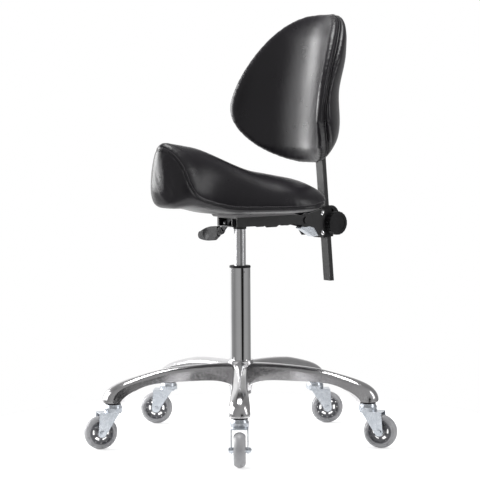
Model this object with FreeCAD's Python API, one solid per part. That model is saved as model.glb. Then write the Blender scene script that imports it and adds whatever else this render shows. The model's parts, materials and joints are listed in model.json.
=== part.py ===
import FreeCAD, Part
import math
import os

V = FreeCAD.Vector

# The origin is the floor point under the column. +Z is up, the seat's front is -Y and the
# sitter's left is +X. All sizes are millimetres and all angles are degrees.

# casters
caster_count = 5
stem_circle = 315.0
base_turn = 51.45
caster_swing = [0.0, 0.0, -50.0, 50.0, 0.0]
wheel_radius = 40.0
tyre_width = 27.0
tyre_shoulder = 4.0
core_radius = 28.0
core_width = 23.0
core_web = 9.0
rim_slot_count = 12
rim_slot_circle = 25.2
rim_slot_radius = 1.7
hub_slot_count = 6
hub_slot_inner = 14.5
hub_slot_outer = 20.0
hub_slot_angle = 38.0
bearing_radius = 11.0
bearing_width = 7.0
axle_radius = 4.0
trail = 31.0
fork_gap = 35.0
fork_plate = 2.5
fork_front = 37.0
fork_back = 15.0
fork_tip = 9.5
fork_top_drop = 22.0
crown_ring_height = 9.2
crown_ring_radius = 21.5
stem_radius = 5.5
stem_socket_depth = 34.0
stem_head_radius = 9.5
washer_thickness = 4.4
washer_radius = 19.0
race_height = 8.0
running_fit = 0.05
seat_gap = 0.3

# star base
foot_height = 110.0
foot_length = 54.0
foot_half_width = 25.0
hub_radius = 31.0
hub_bottom_radius = 26.0
hub_bottom = 124.0
hub_top = 195.0
casting_wall = 6.0

# column
tube_radius = 25.0
tube_wall = 2.2
tube_bottom = 116.0
tube_top = 418.5
tube_floor = 3.0
collar_height = 5.0
bush_length = 62.0
vent_radius = 1.2
vent_drop = 9.0
cylinder_radius = 14.0
cylinder_wall = 2.0
cylinder_bottom = 240.0
cylinder_plug = 9.0
rod_radius = 5.0
piston_height = 15.0
piston_bottom = 310.0
clip_radius = 9.0
clip_thickness = 1.6
thrust_radius = 13.0
thrust_race = 2.0
thrust_ball = 1.5
thrust_ball_count = 10
thrust_ball_circle = 9.8
release_radius = 2.2
release_length = 18.0
release_stand = 4.0

# seat mechanism
mech_bottom = 518.0
mech_top = 538.0
plate_steel = 3.0
flange_steel = 2.5
plate_half_width = 38.5
plate_front = 38.0
plate_rear = 150.0
channel_half_width = 27.0
channel_front = 44.0
channel_rear = 62.0
socket_radius = 15.6
socket_drop = 7.0
cylinder_grip = 11.0
pivot_y = 175.0
pivot_z = 526.0
pivot_radius = 5.0
pivot_lobe = 17.0
pivot_head_radius = 8.5
pivot_head_height = 4.0
screw_x = 31.5
screw_front_y = -22.0
screw_rear_y = 118.0
screw_radius = 2.5
screw_head_radius = 4.2
screw_head_height = 4.0
screw_length = 24.0

# height lever
lever_y = -30.0
lever_steel = 4.0
lever_pivot_x = -16.0
lever_pivot_z = 525.0
lever_pin_radius = 2.5
lever_ear_reach = 5.0
lever_notch_height = 8.0
lever_rib_count = 9
lever_rib_height = 0.8
paddle_thickness = 11.0
paddle_dish = 36.0

# seat
seat_front = 243.0
seat_rear = 175.0
seat_half_width = 175.0
nose_half_width = 74.0
tail_round = 100.0
nose_top = 728.5
nose_fall = 8.5
ridge_y = -50.0
ridge_top = 673.0
dip_y = 58.0
dip_top = 642.0
tail_top = 621.0
seat_under = 550.0
tail_under = 571.0
tail_under_y = 100.0
nose_under_y = -60.0
nose_under = 577.0
chin_y = -205.0
chin_top = 648.0
seat_edge_round = 30.0
outline_margin = 5.0
board_thickness = 10.0
board_under = 562.0
board_half_width = 138.0
board_front = 110.0
board_rear = 132.0
boss_half_width = 42.0
boss_top_half_width = 76.0
boss_front = 47.0

# back bar and its holder
bar_width = 25.0
bar_thickness = 12.0
bar_lean = 4.8
bar_low_z = 370.0
bar_bend_z = 672.0
bar_top_z = 775.0
bar_y_at_holder = 267.0
holder_z = 515.0
holder_low = 480.0
holder_high = 556.0
holder_side = 20.0
holder_front_wall = 17.0
holder_rear_wall = 6.0
holder_chamfer = 6.0
slide_gap = 0.3
ear_front_y = 221.0
ear_rear_y = 248.0
ear_low = 485.0
ear_high = 549.0
plate_gap = 0.4
bracket_steel = 3.0
bracket_outer = plate_half_width - flange_steel - plate_gap
ear_half_width = bracket_outer - bracket_steel
bracket_bolt_y = 229.0
bracket_bolt_low_z = 493.0
bracket_bolt_high_z = 541.0
bracket_bolt_radius = 4.0
bracket_head_radius = 6.2
bracket_waist_y = 205.0
bracket_waist_z = 506.0
strap_steel = 3.0
strap_reach = 20.0
strap_front_y = 163.0
strap_front_z = 506.0
strap_rear_y = 203.0
strap_rear_z = 484.0

# clamp knobs
side_knob_radius = 29.0
side_knob_thickness = 18.0
rear_knob_radius = 24.0
rear_knob_thickness = 14.0
knob_scallops = 20
knob_scallop_radius = 3.4
knob_scallop_depth = 1.5
knob_neck_radius = 10.0
stud_grip = 10.0
stud_radius = 5.0
side_knob_neck = 13.0
rear_knob_neck = 2.0
rear_knob_z = 530.0

# backrest
back_low = 661.0
back_high = 1027.0
back_widest_z = 802.0
back_half_width = 195.0
back_radius = 193.0
back_wrap_angle = 66.5
back_centre_low_y = 221.0
back_centre_high_y = 262.0
back_front_thickness = 31.0
back_rear_thickness = 20.0
back_board_thickness = 5.0
back_board_front = 1.2
back_board_low = 700.0
back_board_high = 985.0
back_board_inset = 38.0
back_bolt_radius = 4.0
back_bolt_head = 7.0
back_bolt_low_z = 712.0
back_bolt_high_z = 752.0


def tube(radius, low, high, x=0.0, y=0.0):
    """Upright cylinder between two heights."""
    return Part.makeCylinder(radius, high - low, V(x, y, low))


def ring(outer, inner, low, high, x=0.0, y=0.0):
    """Upright tube wall between two heights."""
    return tube(outer, low, high, x, y).cut(tube(inner, low, high, x, y))


def bar_x(radius, x_low, x_high, y, z):
    """Cylinder along X."""
    return Part.makeCylinder(radius, x_high - x_low, V(x_low, y, z), V(1, 0, 0))


def bar_y(radius, y_low, y_high, x, z):
    """Cylinder along Y."""
    return Part.makeCylinder(radius, y_high - y_low, V(x, y_low, z), V(0, 1, 0))


def block(x_low, x_high, y_low, y_high, z_low, z_high):
    """Box between two corners."""
    return Part.makeBox(x_high - x_low, y_high - y_low, z_high - z_low, V(x_low, y_low, z_low))


def polygon_face(points):
    """Flat face inside a closed run of straight edges."""
    return Part.Face(Part.makePolygon(points + [points[0]]))


def side_plate(points, x_low, x_high):
    """Plate in the YZ plane from (y, z) corners, between two X places."""
    face = polygon_face([V(x_low, y, z) for y, z in points])
    return face.extrude(V(x_high - x_low, 0, 0))


def front_plate(points, y_low, y_high):
    """Plate in the XZ plane from (x, z) corners, between two Y places."""
    face = polygon_face([V(x, y_low, z) for x, z in points])
    return face.extrude(V(0, y_high - y_low, 0))


def arc(a, b, c):
    """Edge of the circle through three points."""
    return Part.Arc(a, b, c).toShape()


def line(a, b):
    return Part.LineSegment(a, b).toShape()


def tangent_arcs(start, heading, stops):
    """Run of arcs that leaves the start along a heading and passes smoothly through the stops."""
    edges = []
    for stop in stops:
        chord = stop - start
        length = chord.Length
        chord.normalize()
        lead = heading.dot(chord)
        aside = heading - chord * lead
        aside.normalize()
        bow = length / 2 * math.tan(math.acos(lead) / 2)
        edges.append(arc(start, (start + stop) * 0.5 + aside * bow, stop))
        heading = chord * (2 * lead) - heading
        start = stop
    return edges


def with_mirror(right, closing):
    """Closed face from the edges of a right half, the edges that close it and its left half."""
    left = [edge.mirror(V(0, 0, 0), V(1, 0, 0)) for edge in reversed(right)]
    return Part.Face(Part.Wire(right + closing + left))


def merged(shapes):
    """One solid from overlapping solids."""
    return shapes[0].multiFuse(shapes[1:]).removeSplitter()


def turned(shape, angle, x=0.0, y=0.0):
    """Copy turned about the origin's Z axis and then moved in plan."""
    copy = shape.copy()
    copy.rotate(V(0, 0, 0), V(0, 0, 1), angle)
    copy.translate(V(x, y, 0))
    return copy


def leg_angle(index):
    """Plan angle of one leg of the base."""
    return -90.0 + base_turn + index * 360.0 / caster_count


def stem_place(index):
    angle = math.radians(leg_angle(index))
    return stem_circle * math.cos(angle), stem_circle * math.sin(angle)


def arm_section(inner, outer, half_width, under_round, top_round):
    """Closed section of an arm, between an inner and an outer (radius, height) point."""
    start = V(inner[0], 0, inner[1])
    rise = V(outer[0], 0, outer[1]).sub(start)
    height = rise.Length
    up = rise.normalize()

    def at(across, climb):
        return start.add(V(0, across, 0)).add(V(up.x, up.y, up.z).multiply(climb))

    low = under_round
    high = height - top_round
    edges = [
        arc(at(-half_width, low), at(0, 0), at(half_width, low)),
        line(at(half_width, low), at(half_width, high)),
        arc(at(half_width, high), at(0, height), at(-half_width, high)),
        line(at(-half_width, high), at(-half_width, low)),
    ]
    return Part.Wire(edges)


# inner point, outer point, half width, underside rounding and top rounding of the arm's sections
foot_inner = stem_circle - foot_length / 2 - 2.0
foot_outer = foot_inner + foot_length
arm_stations = [
    ((12.0, hub_bottom + 1.0), (12.0, hub_top - 2.0), 20.0, 2.0, 9.0),
    ((68.0, 149.0), (64.0, 191.5), 18.5, 2.0, 11.0),
    ((100.0, 151.0), (97.0, 190.5), 18.0, 2.0, 11.5),
    ((146.0, 151.0), (146.0, 187.5), 17.5, 2.0, 12.0),
    ((200.0, 150.0), (203.0, 181.0), 17.5, 2.0, 12.5),
    ((243.0, 143.0), (262.0, 167.5), 19.0, 3.0, 13.0),
    ((268.0, 131.0), (307.0, 153.0), 22.0, 7.0, 15.0),
    ((foot_inner - 5.0, 119.0), (foot_outer - 6.0, 133.0), foot_half_width - 1.0, 14.0, 18.0),
    ((foot_inner, foot_height), (foot_outer, foot_height), foot_half_width, 19.0, 19.0),
]


def arm():
    """One arm along +X: its sections fan round from upright at the hub to level at the foot."""
    outside = Part.makeLoft([arm_section(*station) for station in arm_stations], True)
    inside = []
    for inner, outer, half_width, under_round, top_round in arm_stations[1:6]:
        roof = (outer[0], outer[1] - casting_wall)
        floor = (inner[0], inner[1] - casting_wall)
        inside.append(arm_section(floor, roof, half_width - casting_wall, under_round, top_round - 4.0))
    return outside.cut(Part.makeLoft(inside, True))


def star_base():
    """Casting with a tapered hub, five arms, the column's seat and the casters' sockets."""
    hub = Part.makeCone(hub_bottom_radius, hub_radius, hub_top - hub_bottom, V(0, 0, hub_bottom))
    rim = ring(hub_radius - 0.5, tube_radius, hub_top - 1.0, hub_top + 2.5)
    pieces = [hub, rim]
    one_arm = arm()
    for index in range(caster_count):
        pieces.append(turned(one_arm, leg_angle(index)))
    casting = merged(pieces)
    holes = [tube(tube_radius, hub_bottom - 5.0, hub_top + 5.0)]
    for index in range(caster_count):
        x, y = stem_place(index)
        holes.append(tube(stem_radius, foot_height - 5.0, foot_height + stem_socket_depth, x, y))
    return casting.cut(holes[0].multiFuse(holes[1:]))


def column_tube():
    """Outer tube with a floor for the thrust bearing and a small vent near its top."""
    wall = ring(tube_radius, tube_radius - tube_wall, tube_bottom, tube_top)
    floor = ring(tube_radius, rod_radius + 2.0, tube_bottom, tube_bottom + tube_floor)
    vent_angle = math.radians(base_turn - 66.0)
    reach = V(math.cos(vent_angle), math.sin(vent_angle), 0)
    vent = Part.makeCylinder(vent_radius, tube_radius + 5.0, V(0, 0, tube_top - vent_drop), reach)
    return wall.fuse(floor).removeSplitter().cut(vent)


def tube_bush():
    """Plastic guide inside the tube's top, with the collar that shows above it."""
    collar = tube(tube_radius + 0.4, tube_top, tube_top + collar_height)
    collar = collar.makeChamfer(1.2, [edge for edge in collar.Edges if edge.BoundBox.ZMin > tube_top + 1.0])
    sleeve = tube(tube_radius - tube_wall, tube_top - bush_length, tube_top)
    bore = tube(cylinder_radius + running_fit, tube_top - bush_length, tube_top + collar_height)
    return merged([collar, sleeve]).cut(bore)


bearing_low = tube_bottom + tube_floor + 0.1
bearing_high = bearing_low + 2 * thrust_race + 2 * thrust_ball


def thrust_bearing():
    """Two flat races and the balls between them."""
    hole = rod_radius + running_fit
    lower = ring(thrust_radius, hole, bearing_low, bearing_low + thrust_race)
    upper = ring(thrust_radius, hole, bearing_high - thrust_race, bearing_high)
    solids = [lower, upper]
    middle = bearing_low + thrust_race + thrust_ball
    for index in range(thrust_ball_count):
        angle = 2 * math.pi * index / thrust_ball_count
        centre = V(thrust_ball_circle * math.cos(angle), thrust_ball_circle * math.sin(angle), middle)
        solids.append(Part.makeSphere(thrust_ball - 0.02, centre))
    return Part.makeCompound(solids)


def piston_rod():
    """Rod that stands on the thrust bearing and carries the piston."""
    rod = tube(rod_radius, tube_bottom - 5.0, piston_bottom + piston_height)
    shoulder = tube(rod_radius + 3.0, bearing_high, bearing_high + 6.0)
    piston = tube(cylinder_radius - cylinder_wall - running_fit, piston_bottom, piston_bottom + piston_height)
    groove = ring(rod_radius + 1.0, rod_radius - 1.0, tube_bottom - 3.0, tube_bottom - 3.0 + clip_thickness)
    return merged([rod, shoulder, piston]).cut(groove)


def rod_clip():
    """Spring clip in the rod's groove, under the tube's floor."""
    low = tube_bottom - 3.0
    clip = ring(clip_radius, rod_radius - 1.0, low, low + clip_thickness)
    mouth = block(0, clip_radius + 1.0, -rod_radius + 1.6, rod_radius - 1.6, low - 1.0, low + 4.0)
    return clip.cut(mouth)


cylinder_top = mech_bottom + cylinder_grip


def gas_cylinder():
    """Sliding cylinder, closed below round the rod and above round the release pin."""
    wall = ring(cylinder_radius, cylinder_radius - cylinder_wall, cylinder_bottom, cylinder_top)
    seal = ring(cylinder_radius, rod_radius + running_fit, cylinder_bottom, cylinder_bottom + cylinder_plug)
    head = tube(cylinder_radius, cylinder_top - release_length - 3.0, cylinder_top)
    hole = tube(release_radius + running_fit, cylinder_top - release_length, cylinder_top)
    return merged([wall, seal, head.cut(hole)])


def release_pin():
    """Pin that the lever presses."""
    low = cylinder_top - release_length + 4.0
    return tube(release_radius, low, cylinder_top + release_stand)


def mech_channel():
    """Inner channel with the cylinder's socket, the lever's ears and the lever's slot."""
    half = channel_half_width
    floor = mech_bottom + flange_steel
    outside = block(-half, half, -channel_front, channel_rear, mech_bottom, mech_top)
    hollow = block(
        -half + flange_steel, half - flange_steel, -channel_front, channel_rear - flange_steel, floor, mech_top
    )
    pieces = [outside.cut(hollow), tube(socket_radius, mech_bottom - socket_drop, floor)]
    ear_gap = lever_steel / 2 + plate_gap
    for side in (-1, 1):
        near = lever_y + side * ear_gap
        far = lever_y + side * (ear_gap + flange_steel)
        low_y = min(near, far)
        high_y = max(near, far)
        pieces.append(
            block(
                lever_pivot_x - lever_ear_reach,
                lever_pivot_x + lever_ear_reach,
                low_y,
                high_y,
                mech_bottom,
                lever_pivot_z + lever_ear_reach,
            )
        )
    channel = merged(pieces)
    slot = block(
        -half + flange_steel,
        lever_pivot_x + lever_ear_reach + 12.0,
        lever_y - ear_gap,
        lever_y + ear_gap,
        mech_bottom - 1.0,
        floor,
    )
    notch = block(
        -half - 1.0,
        -half + flange_steel + 1.0,
        lever_y - ear_gap,
        lever_y + ear_gap,
        mech_bottom - 1.0,
        mech_bottom + lever_notch_height,
    )
    pin_hole = bar_y(lever_pin_radius, lever_y - 10.0, lever_y + 10.0, lever_pivot_x, lever_pivot_z)
    socket = tube(cylinder_radius, mech_bottom - socket_drop, floor)
    return channel.cut(slot.multiFuse([notch, pin_hole, socket]))


def flange_outline():
    """Lower edge of the side flange, with its shallow lobes, as (y, z) corners."""
    low = mech_bottom
    return [
        (-plate_front, mech_top),
        (-plate_front, low),
        (18.0, low),
        (22.0, low - 2.0),
        (42.0, low - 2.0),
        (46.0, low),
        (52.0, low - 4.5),
        (82.0, low - 4.5),
        (90.0, low),
        (98.0, low - 2.0),
        (120.0, low - 2.0),
        (126.0, low),
        (pivot_y - pivot_lobe * 0.75, pivot_z - pivot_lobe * 0.66),
        (pivot_y, pivot_z),
        (pivot_y, mech_top),
    ]


def seat_plate():
    """Mounting plate with two side flanges that end in the back hinge's lobes."""
    inner = plate_half_width - flange_steel
    pieces = [block(-plate_half_width, plate_half_width, -plate_front, plate_rear, mech_top, mech_top + plate_steel)]
    for side in (-1, 1):
        x_low = min(side * inner, side * plate_half_width)
        pieces.append(side_plate(flange_outline(), x_low, x_low + flange_steel))
        pieces.append(bar_x(pivot_lobe, x_low, x_low + flange_steel, pivot_y, pivot_z))
    plate = merged(pieces)
    holes = [bar_x(pivot_radius, -60.0, 60.0, pivot_y, pivot_z)]
    for x, y in screw_places():
        holes.append(tube(screw_radius, mech_top - 1.0, mech_top + plate_steel + 1.0, x, y))
    return plate.cut(holes[0].multiFuse(holes[1:]))


def screw_places():
    places = []
    for x in (-screw_x, screw_x):
        for y in (screw_front_y, screw_rear_y):
            places.append((x, y))
    return places


def plate_screws():
    """Four screws up through the plate into the board's boss."""
    solids = []
    for x, y in screw_places():
        head = tube(screw_head_radius, mech_top - screw_head_height, mech_top, x, y)
        shank = tube(screw_radius, mech_top - 0.5, mech_top - 0.5 + screw_length, x, y)
        solids.append(head.fuse(shank).removeSplitter())
    return Part.makeCompound(solids)


def board_outline(grow, z):
    """Plan outline of the seat's board, grown by a clearance."""
    half = board_half_width + grow
    front = -board_front - grow
    rear = board_rear + grow
    nose = half * 0.5
    points = [
        V(-half, 20.0, z),
        V(-half * 0.93, rear * 0.75, z),
        V(-half * 0.6, rear, z),
        V(half * 0.6, rear, z),
        V(half * 0.93, rear * 0.75, z),
        V(half, 20.0, z),
        V(nose, front, z),
        V(-nose, front, z),
    ]
    edges = [
        arc(points[0], points[1], points[2]),
        line(points[2], points[3]),
        arc(points[3], points[4], points[5]),
        line(points[5], points[6]),
        line(points[6], points[7]),
        line(points[7], points[0]),
    ]
    return Part.Face(Part.Wire(edges))


boss_rear = plate_rear - 30.0


def seat_board():
    """Moulded board inside the seat, with the boss that the mounting plate is screwed to."""
    panel = board_outline(0.0, board_under).extrude(V(0, 0, board_thickness))
    low = mech_top + plate_steel
    boss = front_plate(
        [
            (-boss_half_width, low),
            (boss_half_width, low),
            (boss_top_half_width, board_under + 1.0),
            (-boss_top_half_width, board_under + 1.0),
        ],
        -boss_front,
        boss_rear + 20.0 - seat_gap,
    )
    board = merged([panel, boss.common(board_outline(0.0, low - 1.0).extrude(V(0, 0, 40.0)))])
    holes = [tube(screw_radius, low - 1.0, mech_top - 0.5 + screw_length, x, y) for x, y in screw_places()]
    return board.cut(holes[0].multiFuse(holes[1:]))


def seat_outline(z):
    """Plan outline of the seat: round nose, flanks that draw out and a broad tail."""
    nose_y = nose_half_width - seat_front
    tail_y = seat_rear - tail_round
    tail_x = seat_half_width - tail_round
    stops = [
        V(nose_half_width, nose_y, z),
        V((nose_half_width + seat_half_width) / 2, (nose_y + tail_y) / 2, z),
        V(seat_half_width, tail_y, z),
        V(tail_x, seat_rear, z),
    ]
    right = tangent_arcs(V(0, -seat_front, z), V(1, 0, 0), stops)
    return with_mirror(right, [line(V(tail_x, seat_rear, z), V(-tail_x, seat_rear, z))])


def seat_profile(x):
    """Side outline of the seat, a margin longer than its plan at both ends."""
    front = -seat_front - outline_margin
    rear = seat_rear + outline_margin
    fall = math.radians(nose_fall)
    start = V(x, front, nose_top)
    stops = [V(x, ridge_y, ridge_top), V(x, dip_y, dip_top), V(x, rear, tail_top)]
    top = tangent_arcs(start, V(0, math.cos(fall), -math.sin(fall)), stops)
    under = [
        stops[-1],
        V(x, rear, tail_under),
        V(x, tail_under_y, seat_under),
        V(x, nose_under_y, seat_under),
        V(x, chin_y, nose_under),
        V(x, front, chin_top),
        start,
    ]
    edges = [line(a, b) for a, b in zip(under, under[1:])]
    return Part.Face(Part.Wire(top + edges))


def seat_pad():
    """Saddle cushion: high round nose, broad rear and rounded upper edge, open beneath round the board."""
    block_low = seat_under - outline_margin
    cushion = seat_outline(block_low).extrude(V(0, 0, nose_top + outline_margin - block_low))
    half = seat_half_width + outline_margin
    cushion = cushion.common(seat_profile(-half).extrude(V(2 * half, 0, 0)))
    rim = []
    for edge in cushion.Edges:
        box = edge.BoundBox
        across = box.YLength < 0.01 and box.YMax < seat_rear - 1.0
        if box.ZMin > seat_under + seat_edge_round and not across:
            rim.append(edge)
    cushion = cushion.makeFillet(seat_edge_round, rim)
    recess = board_outline(seat_gap, seat_under - 20.0)
    recess = recess.extrude(V(0, 0, board_under + board_thickness + seat_gap - seat_under + 20.0))
    return cushion.cut(recess)


def pivot_bolt():
    """Bolt of the back hinge, with a head at one end and a nut at the other."""
    shank = bar_x(pivot_radius, -plate_half_width - 1.0, plate_half_width + 1.0, pivot_y, pivot_z)
    head = bar_x(pivot_head_radius, plate_half_width, plate_half_width + pivot_head_height, pivot_y, pivot_z)
    nut = bar_x(pivot_head_radius, -plate_half_width - pivot_head_height, -plate_half_width, pivot_y, pivot_z)
    return merged([shank, head, nut])


def lever_pin():
    return bar_y(lever_pin_radius, lever_y - 6.0, lever_y + 6.0, lever_pivot_x, lever_pivot_z)


tab_low = cylinder_top + release_stand + seat_gap


def lever_arm():
    """Flat arm on edge that pivots in the channel, with a tab over the release pin and a ribbed grip."""
    y_low = lever_y - lever_steel / 2
    y_high = lever_y + lever_steel / 2
    blade = front_plate(
        [
            (6.0, tab_low + 3.0),
            (6.0, tab_low),
            (-8.0, 518.5),
            (-30.0, 500.0),
            (-43.0, 496.0),
            (-64.0, 491.0),
            (-64.0, 502.0),
            (-43.0, 511.5),
            (-32.0, 514.5),
            (-18.0, 529.5),
            (-6.0, tab_low + 3.0),
        ],
        y_low,
        y_high,
    )
    tab = block(-5.0, 5.0, y_low, release_radius + 3.0, tab_low, tab_low + 3.0)
    sleeve = front_plate(
        [(-24.0, 505.8), (-30.0, 499.0), (-41.0, 495.4), (-42.2, 512.0), (-33.5, 515.0)],
        y_low - 3.0,
        y_high + 3.0,
    )
    ribs = []
    for index in range(lever_rib_count):
        share = (index + 0.5) / lever_rib_count
        x = -28.0 - 13.0 * share
        z = 502.6 - 3.4 * share
        rib = block(x - 0.4, x + 0.4, y_low - 3.0 - lever_rib_height, y_high + 3.0 + lever_rib_height, z - 1.0, z + 11.0)
        rib.rotate(V(x, 0, z), V(0, 1, 0), -28.0 + 8.0 * share)
        ribs.append(rib)
    arm_solid = merged([blade, tab, sleeve] + ribs)
    hole = bar_y(lever_pin_radius + running_fit, y_low - 1.0, y_high + 1.0, lever_pivot_x, lever_pivot_z)
    return arm_solid.cut(hole)


def lever_paddle():
    """Moulded spoon on the arm's end: a rounded outline with a finger dish on its front face."""
    points = [
        (-44.0, 516.5),
        (-66.0, 515.5),
        (-90.0, 510.0),
        (-110.0, 501.5),
        (-119.5, 490.5),
        (-110.0, 482.5),
        (-85.0, 480.0),
        (-60.0, 482.0),
        (-44.0, 493.0),
    ]
    middle_y = lever_y
    half = paddle_thickness / 2
    corner = [V(x, middle_y - half, z) for x, z in points]
    edges = [
        line(corner[0], corner[1]),
        arc(corner[1], corner[2], corner[3]),
        arc(corner[3], corner[4], corner[5]),
        arc(corner[5], corner[6], corner[7]),
        line(corner[7], corner[8]),
        line(corner[8], corner[0]),
    ]
    body = Part.Face(Part.Wire(edges)).extrude(V(0, paddle_thickness, 0))
    dish = Part.makeSphere(paddle_dish, V(-88.0, middle_y - half - paddle_dish + 2.5, 496.5))
    pocket = front_plate(
        [(-44.0, 495.7), (-64.3, 490.7), (-64.3, 502.3), (-44.0, 511.8)],
        lever_y - lever_steel / 2,
        lever_y + lever_steel / 2,
    )
    return body.cut(dish).cut(pocket)


def lean_place(z):
    """Y of the back bar's centre line at a height, below its bend."""
    return bar_y_at_holder - (z - holder_z) * math.tan(math.radians(bar_lean))


def leaned(shape):
    """Copy of a shape drawn upright at the holder, leaned with the bar."""
    copy = shape.copy()
    copy.rotate(V(0, bar_y_at_holder, holder_z), V(1, 0, 0), bar_lean)
    return copy


def bar_holder():
    """Sleeve round the back bar, with the two ears that are bolted to the hinge bracket."""
    half_y = bar_thickness / 2 + slide_gap
    y = bar_y_at_holder
    front = y - half_y - holder_front_wall
    rear = y + half_y + holder_rear_wall
    c = holder_chamfer
    outline = [
        V(-holder_side, front, holder_low),
        V(holder_side, front, holder_low),
        V(holder_side, rear - c, holder_low),
        V(holder_side - c, rear, holder_low),
        V(-holder_side + c, rear, holder_low),
        V(-holder_side, rear - c, holder_low),
    ]
    sleeve = polygon_face(outline).extrude(V(0, 0, holder_high - holder_low))
    slot = block(
        -bar_width / 2 - slide_gap, bar_width / 2 + slide_gap, y - half_y, y + half_y, holder_low - 20, holder_high + 20
    )
    ears = side_plate(
        [
            (ear_front_y, ear_low + 4.0),
            (ear_front_y + 4.0, ear_low),
            (ear_rear_y, ear_low),
            (ear_rear_y + 8.0, ear_low + 16.0),
            (ear_rear_y + 8.0, ear_high - 16.0),
            (ear_rear_y, ear_high),
            (ear_front_y + 4.0, ear_high),
            (ear_front_y, ear_high - 4.0),
        ],
        -ear_half_width,
        ear_half_width,
    )
    holder = merged([leaned(sleeve), ears]).cut(leaned(slot))
    side_hole = bar_x(stud_radius, 0.0, 60.0, bar_y_at_holder, holder_z)
    rear_hole = leaned(bar_y(stud_radius, y, y + 60.0, 0.0, rear_knob_z))
    holes = [side_hole, rear_hole]
    for z in (bracket_bolt_low_z, bracket_bolt_high_z):
        holes.append(bar_x(bracket_bolt_radius, -60.0, 60.0, bracket_bolt_y, z))
    return holder.cut(holes[0].multiFuse(holes[1:]))


def hinge_bracket():
    """Two steel cheeks from the back hinge to the bar holder's ears."""
    solids = []
    outline = [
        (pivot_y, pivot_z - 13.0),
        (bracket_waist_y, bracket_waist_z),
        (bracket_bolt_y - 8.0, bracket_bolt_low_z - 9.0),
        (bracket_bolt_y + 4.5, bracket_bolt_low_z - 9.0),
        (bracket_bolt_y + 7.5, bracket_bolt_low_z - 4.0),
        (bracket_bolt_y + 7.5, bracket_bolt_high_z + 5.0),
        (bracket_bolt_y + 4.5, bracket_bolt_high_z + 9.0),
        (bracket_bolt_y - 6.0, bracket_bolt_high_z + 9.0),
        (pivot_y, pivot_z + 13.0),
    ]
    for side in (-1, 1):
        x_low = min(side * bracket_outer, side * (bracket_outer - bracket_steel))
        cheek = side_plate(outline, x_low, x_low + bracket_steel)
        lobe = bar_x(13.0, x_low, x_low + bracket_steel, pivot_y, pivot_z)
        cheek = merged([cheek, lobe])
        holes = [bar_x(pivot_radius + running_fit, -60.0, 60.0, pivot_y, pivot_z)]
        for z in (bracket_bolt_low_z, bracket_bolt_high_z):
            holes.append(bar_x(bracket_bolt_radius, -60.0, 60.0, bracket_bolt_y, z))
        solids.append(cheek.cut(holes[0].multiFuse(holes[1:])))
    return Part.makeCompound(solids)


def under_strap():
    """Zinc-plated angle inside the left cheek: an upright web over a sloping leg."""
    web_rear = ear_front_y - 0.5
    web = side_plate(
        [
            (strap_front_y, strap_front_z),
            (strap_rear_y, strap_rear_z),
            (web_rear, strap_rear_z + 2.0),
            (web_rear, bracket_waist_z),
            (pivot_y + 15.0, pivot_z - 11.0),
            (pivot_y - 5.0, pivot_z - 14.0),
        ],
        ear_half_width - strap_steel,
        ear_half_width,
    )
    leg = side_plate(
        [
            (strap_front_y, strap_front_z),
            (strap_rear_y, strap_rear_z),
            (strap_rear_y + strap_steel * 0.5, strap_rear_z + strap_steel),
            (strap_front_y + strap_steel * 0.5, strap_front_z + strap_steel),
        ],
        ear_half_width - strap_reach,
        ear_half_width,
    )
    return merged([web, leg])


def bracket_bolts():
    """Two bolts with domed heads and nuts through the cheeks and the holder's ears."""
    solids = []
    end = bracket_outer
    for z in (bracket_bolt_low_z, bracket_bolt_high_z):
        shank = bar_x(bracket_bolt_radius, -end - 1.0, end + 1.0, bracket_bolt_y, z)
        dome_radius = 8.0
        dome_drop = math.sqrt(dome_radius ** 2 - bracket_head_radius ** 2)
        dome = Part.makeSphere(dome_radius, V(end + 1.6 - dome_drop, bracket_bolt_y, z))
        cap = dome.common(bar_x(bracket_head_radius, end + 1.0, end + 9.0, bracket_bolt_y, z))
        collar = bar_x(bracket_head_radius, end, end + 1.6, bracket_bolt_y, z)
        nut = bar_x(bracket_head_radius, -end - 5.0, -end, bracket_bolt_y, z)
        solids.append(merged([shank, collar, cap, nut]))
    return Part.makeCompound(solids)


def scalloped_disc(radius, thickness):
    """Knob head along +Z from the origin, with scallops round its rim and a shallow dished face."""
    disc = tube(radius, 0.0, thickness)
    disc = disc.makeFillet(2.2, [edge for edge in disc.Edges if len(edge.Vertexes) == 1])
    cutters = []
    for index in range(knob_scallops):
        angle = 2 * math.pi * index / knob_scallops
        reach = radius + knob_scallop_radius - knob_scallop_depth
        cutters.append(
            tube(knob_scallop_radius, -1.0, thickness + 1.0, reach * math.cos(angle), reach * math.sin(angle))
        )
    dish = tube(radius * 0.7, thickness - 1.2, thickness + 1.0)
    return disc.cut(cutters[0].multiFuse(cutters[1:] + [dish]))


def clamp_knob(radius, thickness, neck):
    """Knob with its neck, along +Z from the origin, and a blind hole for its stud."""
    hub = tube(knob_neck_radius, 0.0, neck + 1.0)
    head = scalloped_disc(radius, thickness)
    head.translate(V(0, 0, neck))
    return merged([hub, head]).cut(tube(stud_radius - running_fit, -1.0, neck + stud_grip))


def to_side(shape, start):
    """Copy of a shape drawn along +Z, laid along +X from the holder's left side."""
    copy = shape.copy()
    copy.rotate(V(0, 0, 0), V(0, 1, 0), 90.0)
    copy.translate(V(start, bar_y_at_holder, holder_z))
    return copy


def to_rear(shape, start):
    """Copy of a shape drawn along +Z, laid square to the bar behind the holder."""
    copy = shape.copy()
    copy.rotate(V(0, 0, 0), V(1, 0, 0), -90.0)
    copy.translate(V(0, bar_y_at_holder + start, rear_knob_z))
    return leaned(copy)


holder_rear_face = bar_thickness / 2 + slide_gap + holder_rear_wall


def side_knob():
    knob = clamp_knob(side_knob_radius, side_knob_thickness, side_knob_neck)
    return to_side(knob, holder_side + seat_gap)


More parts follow.
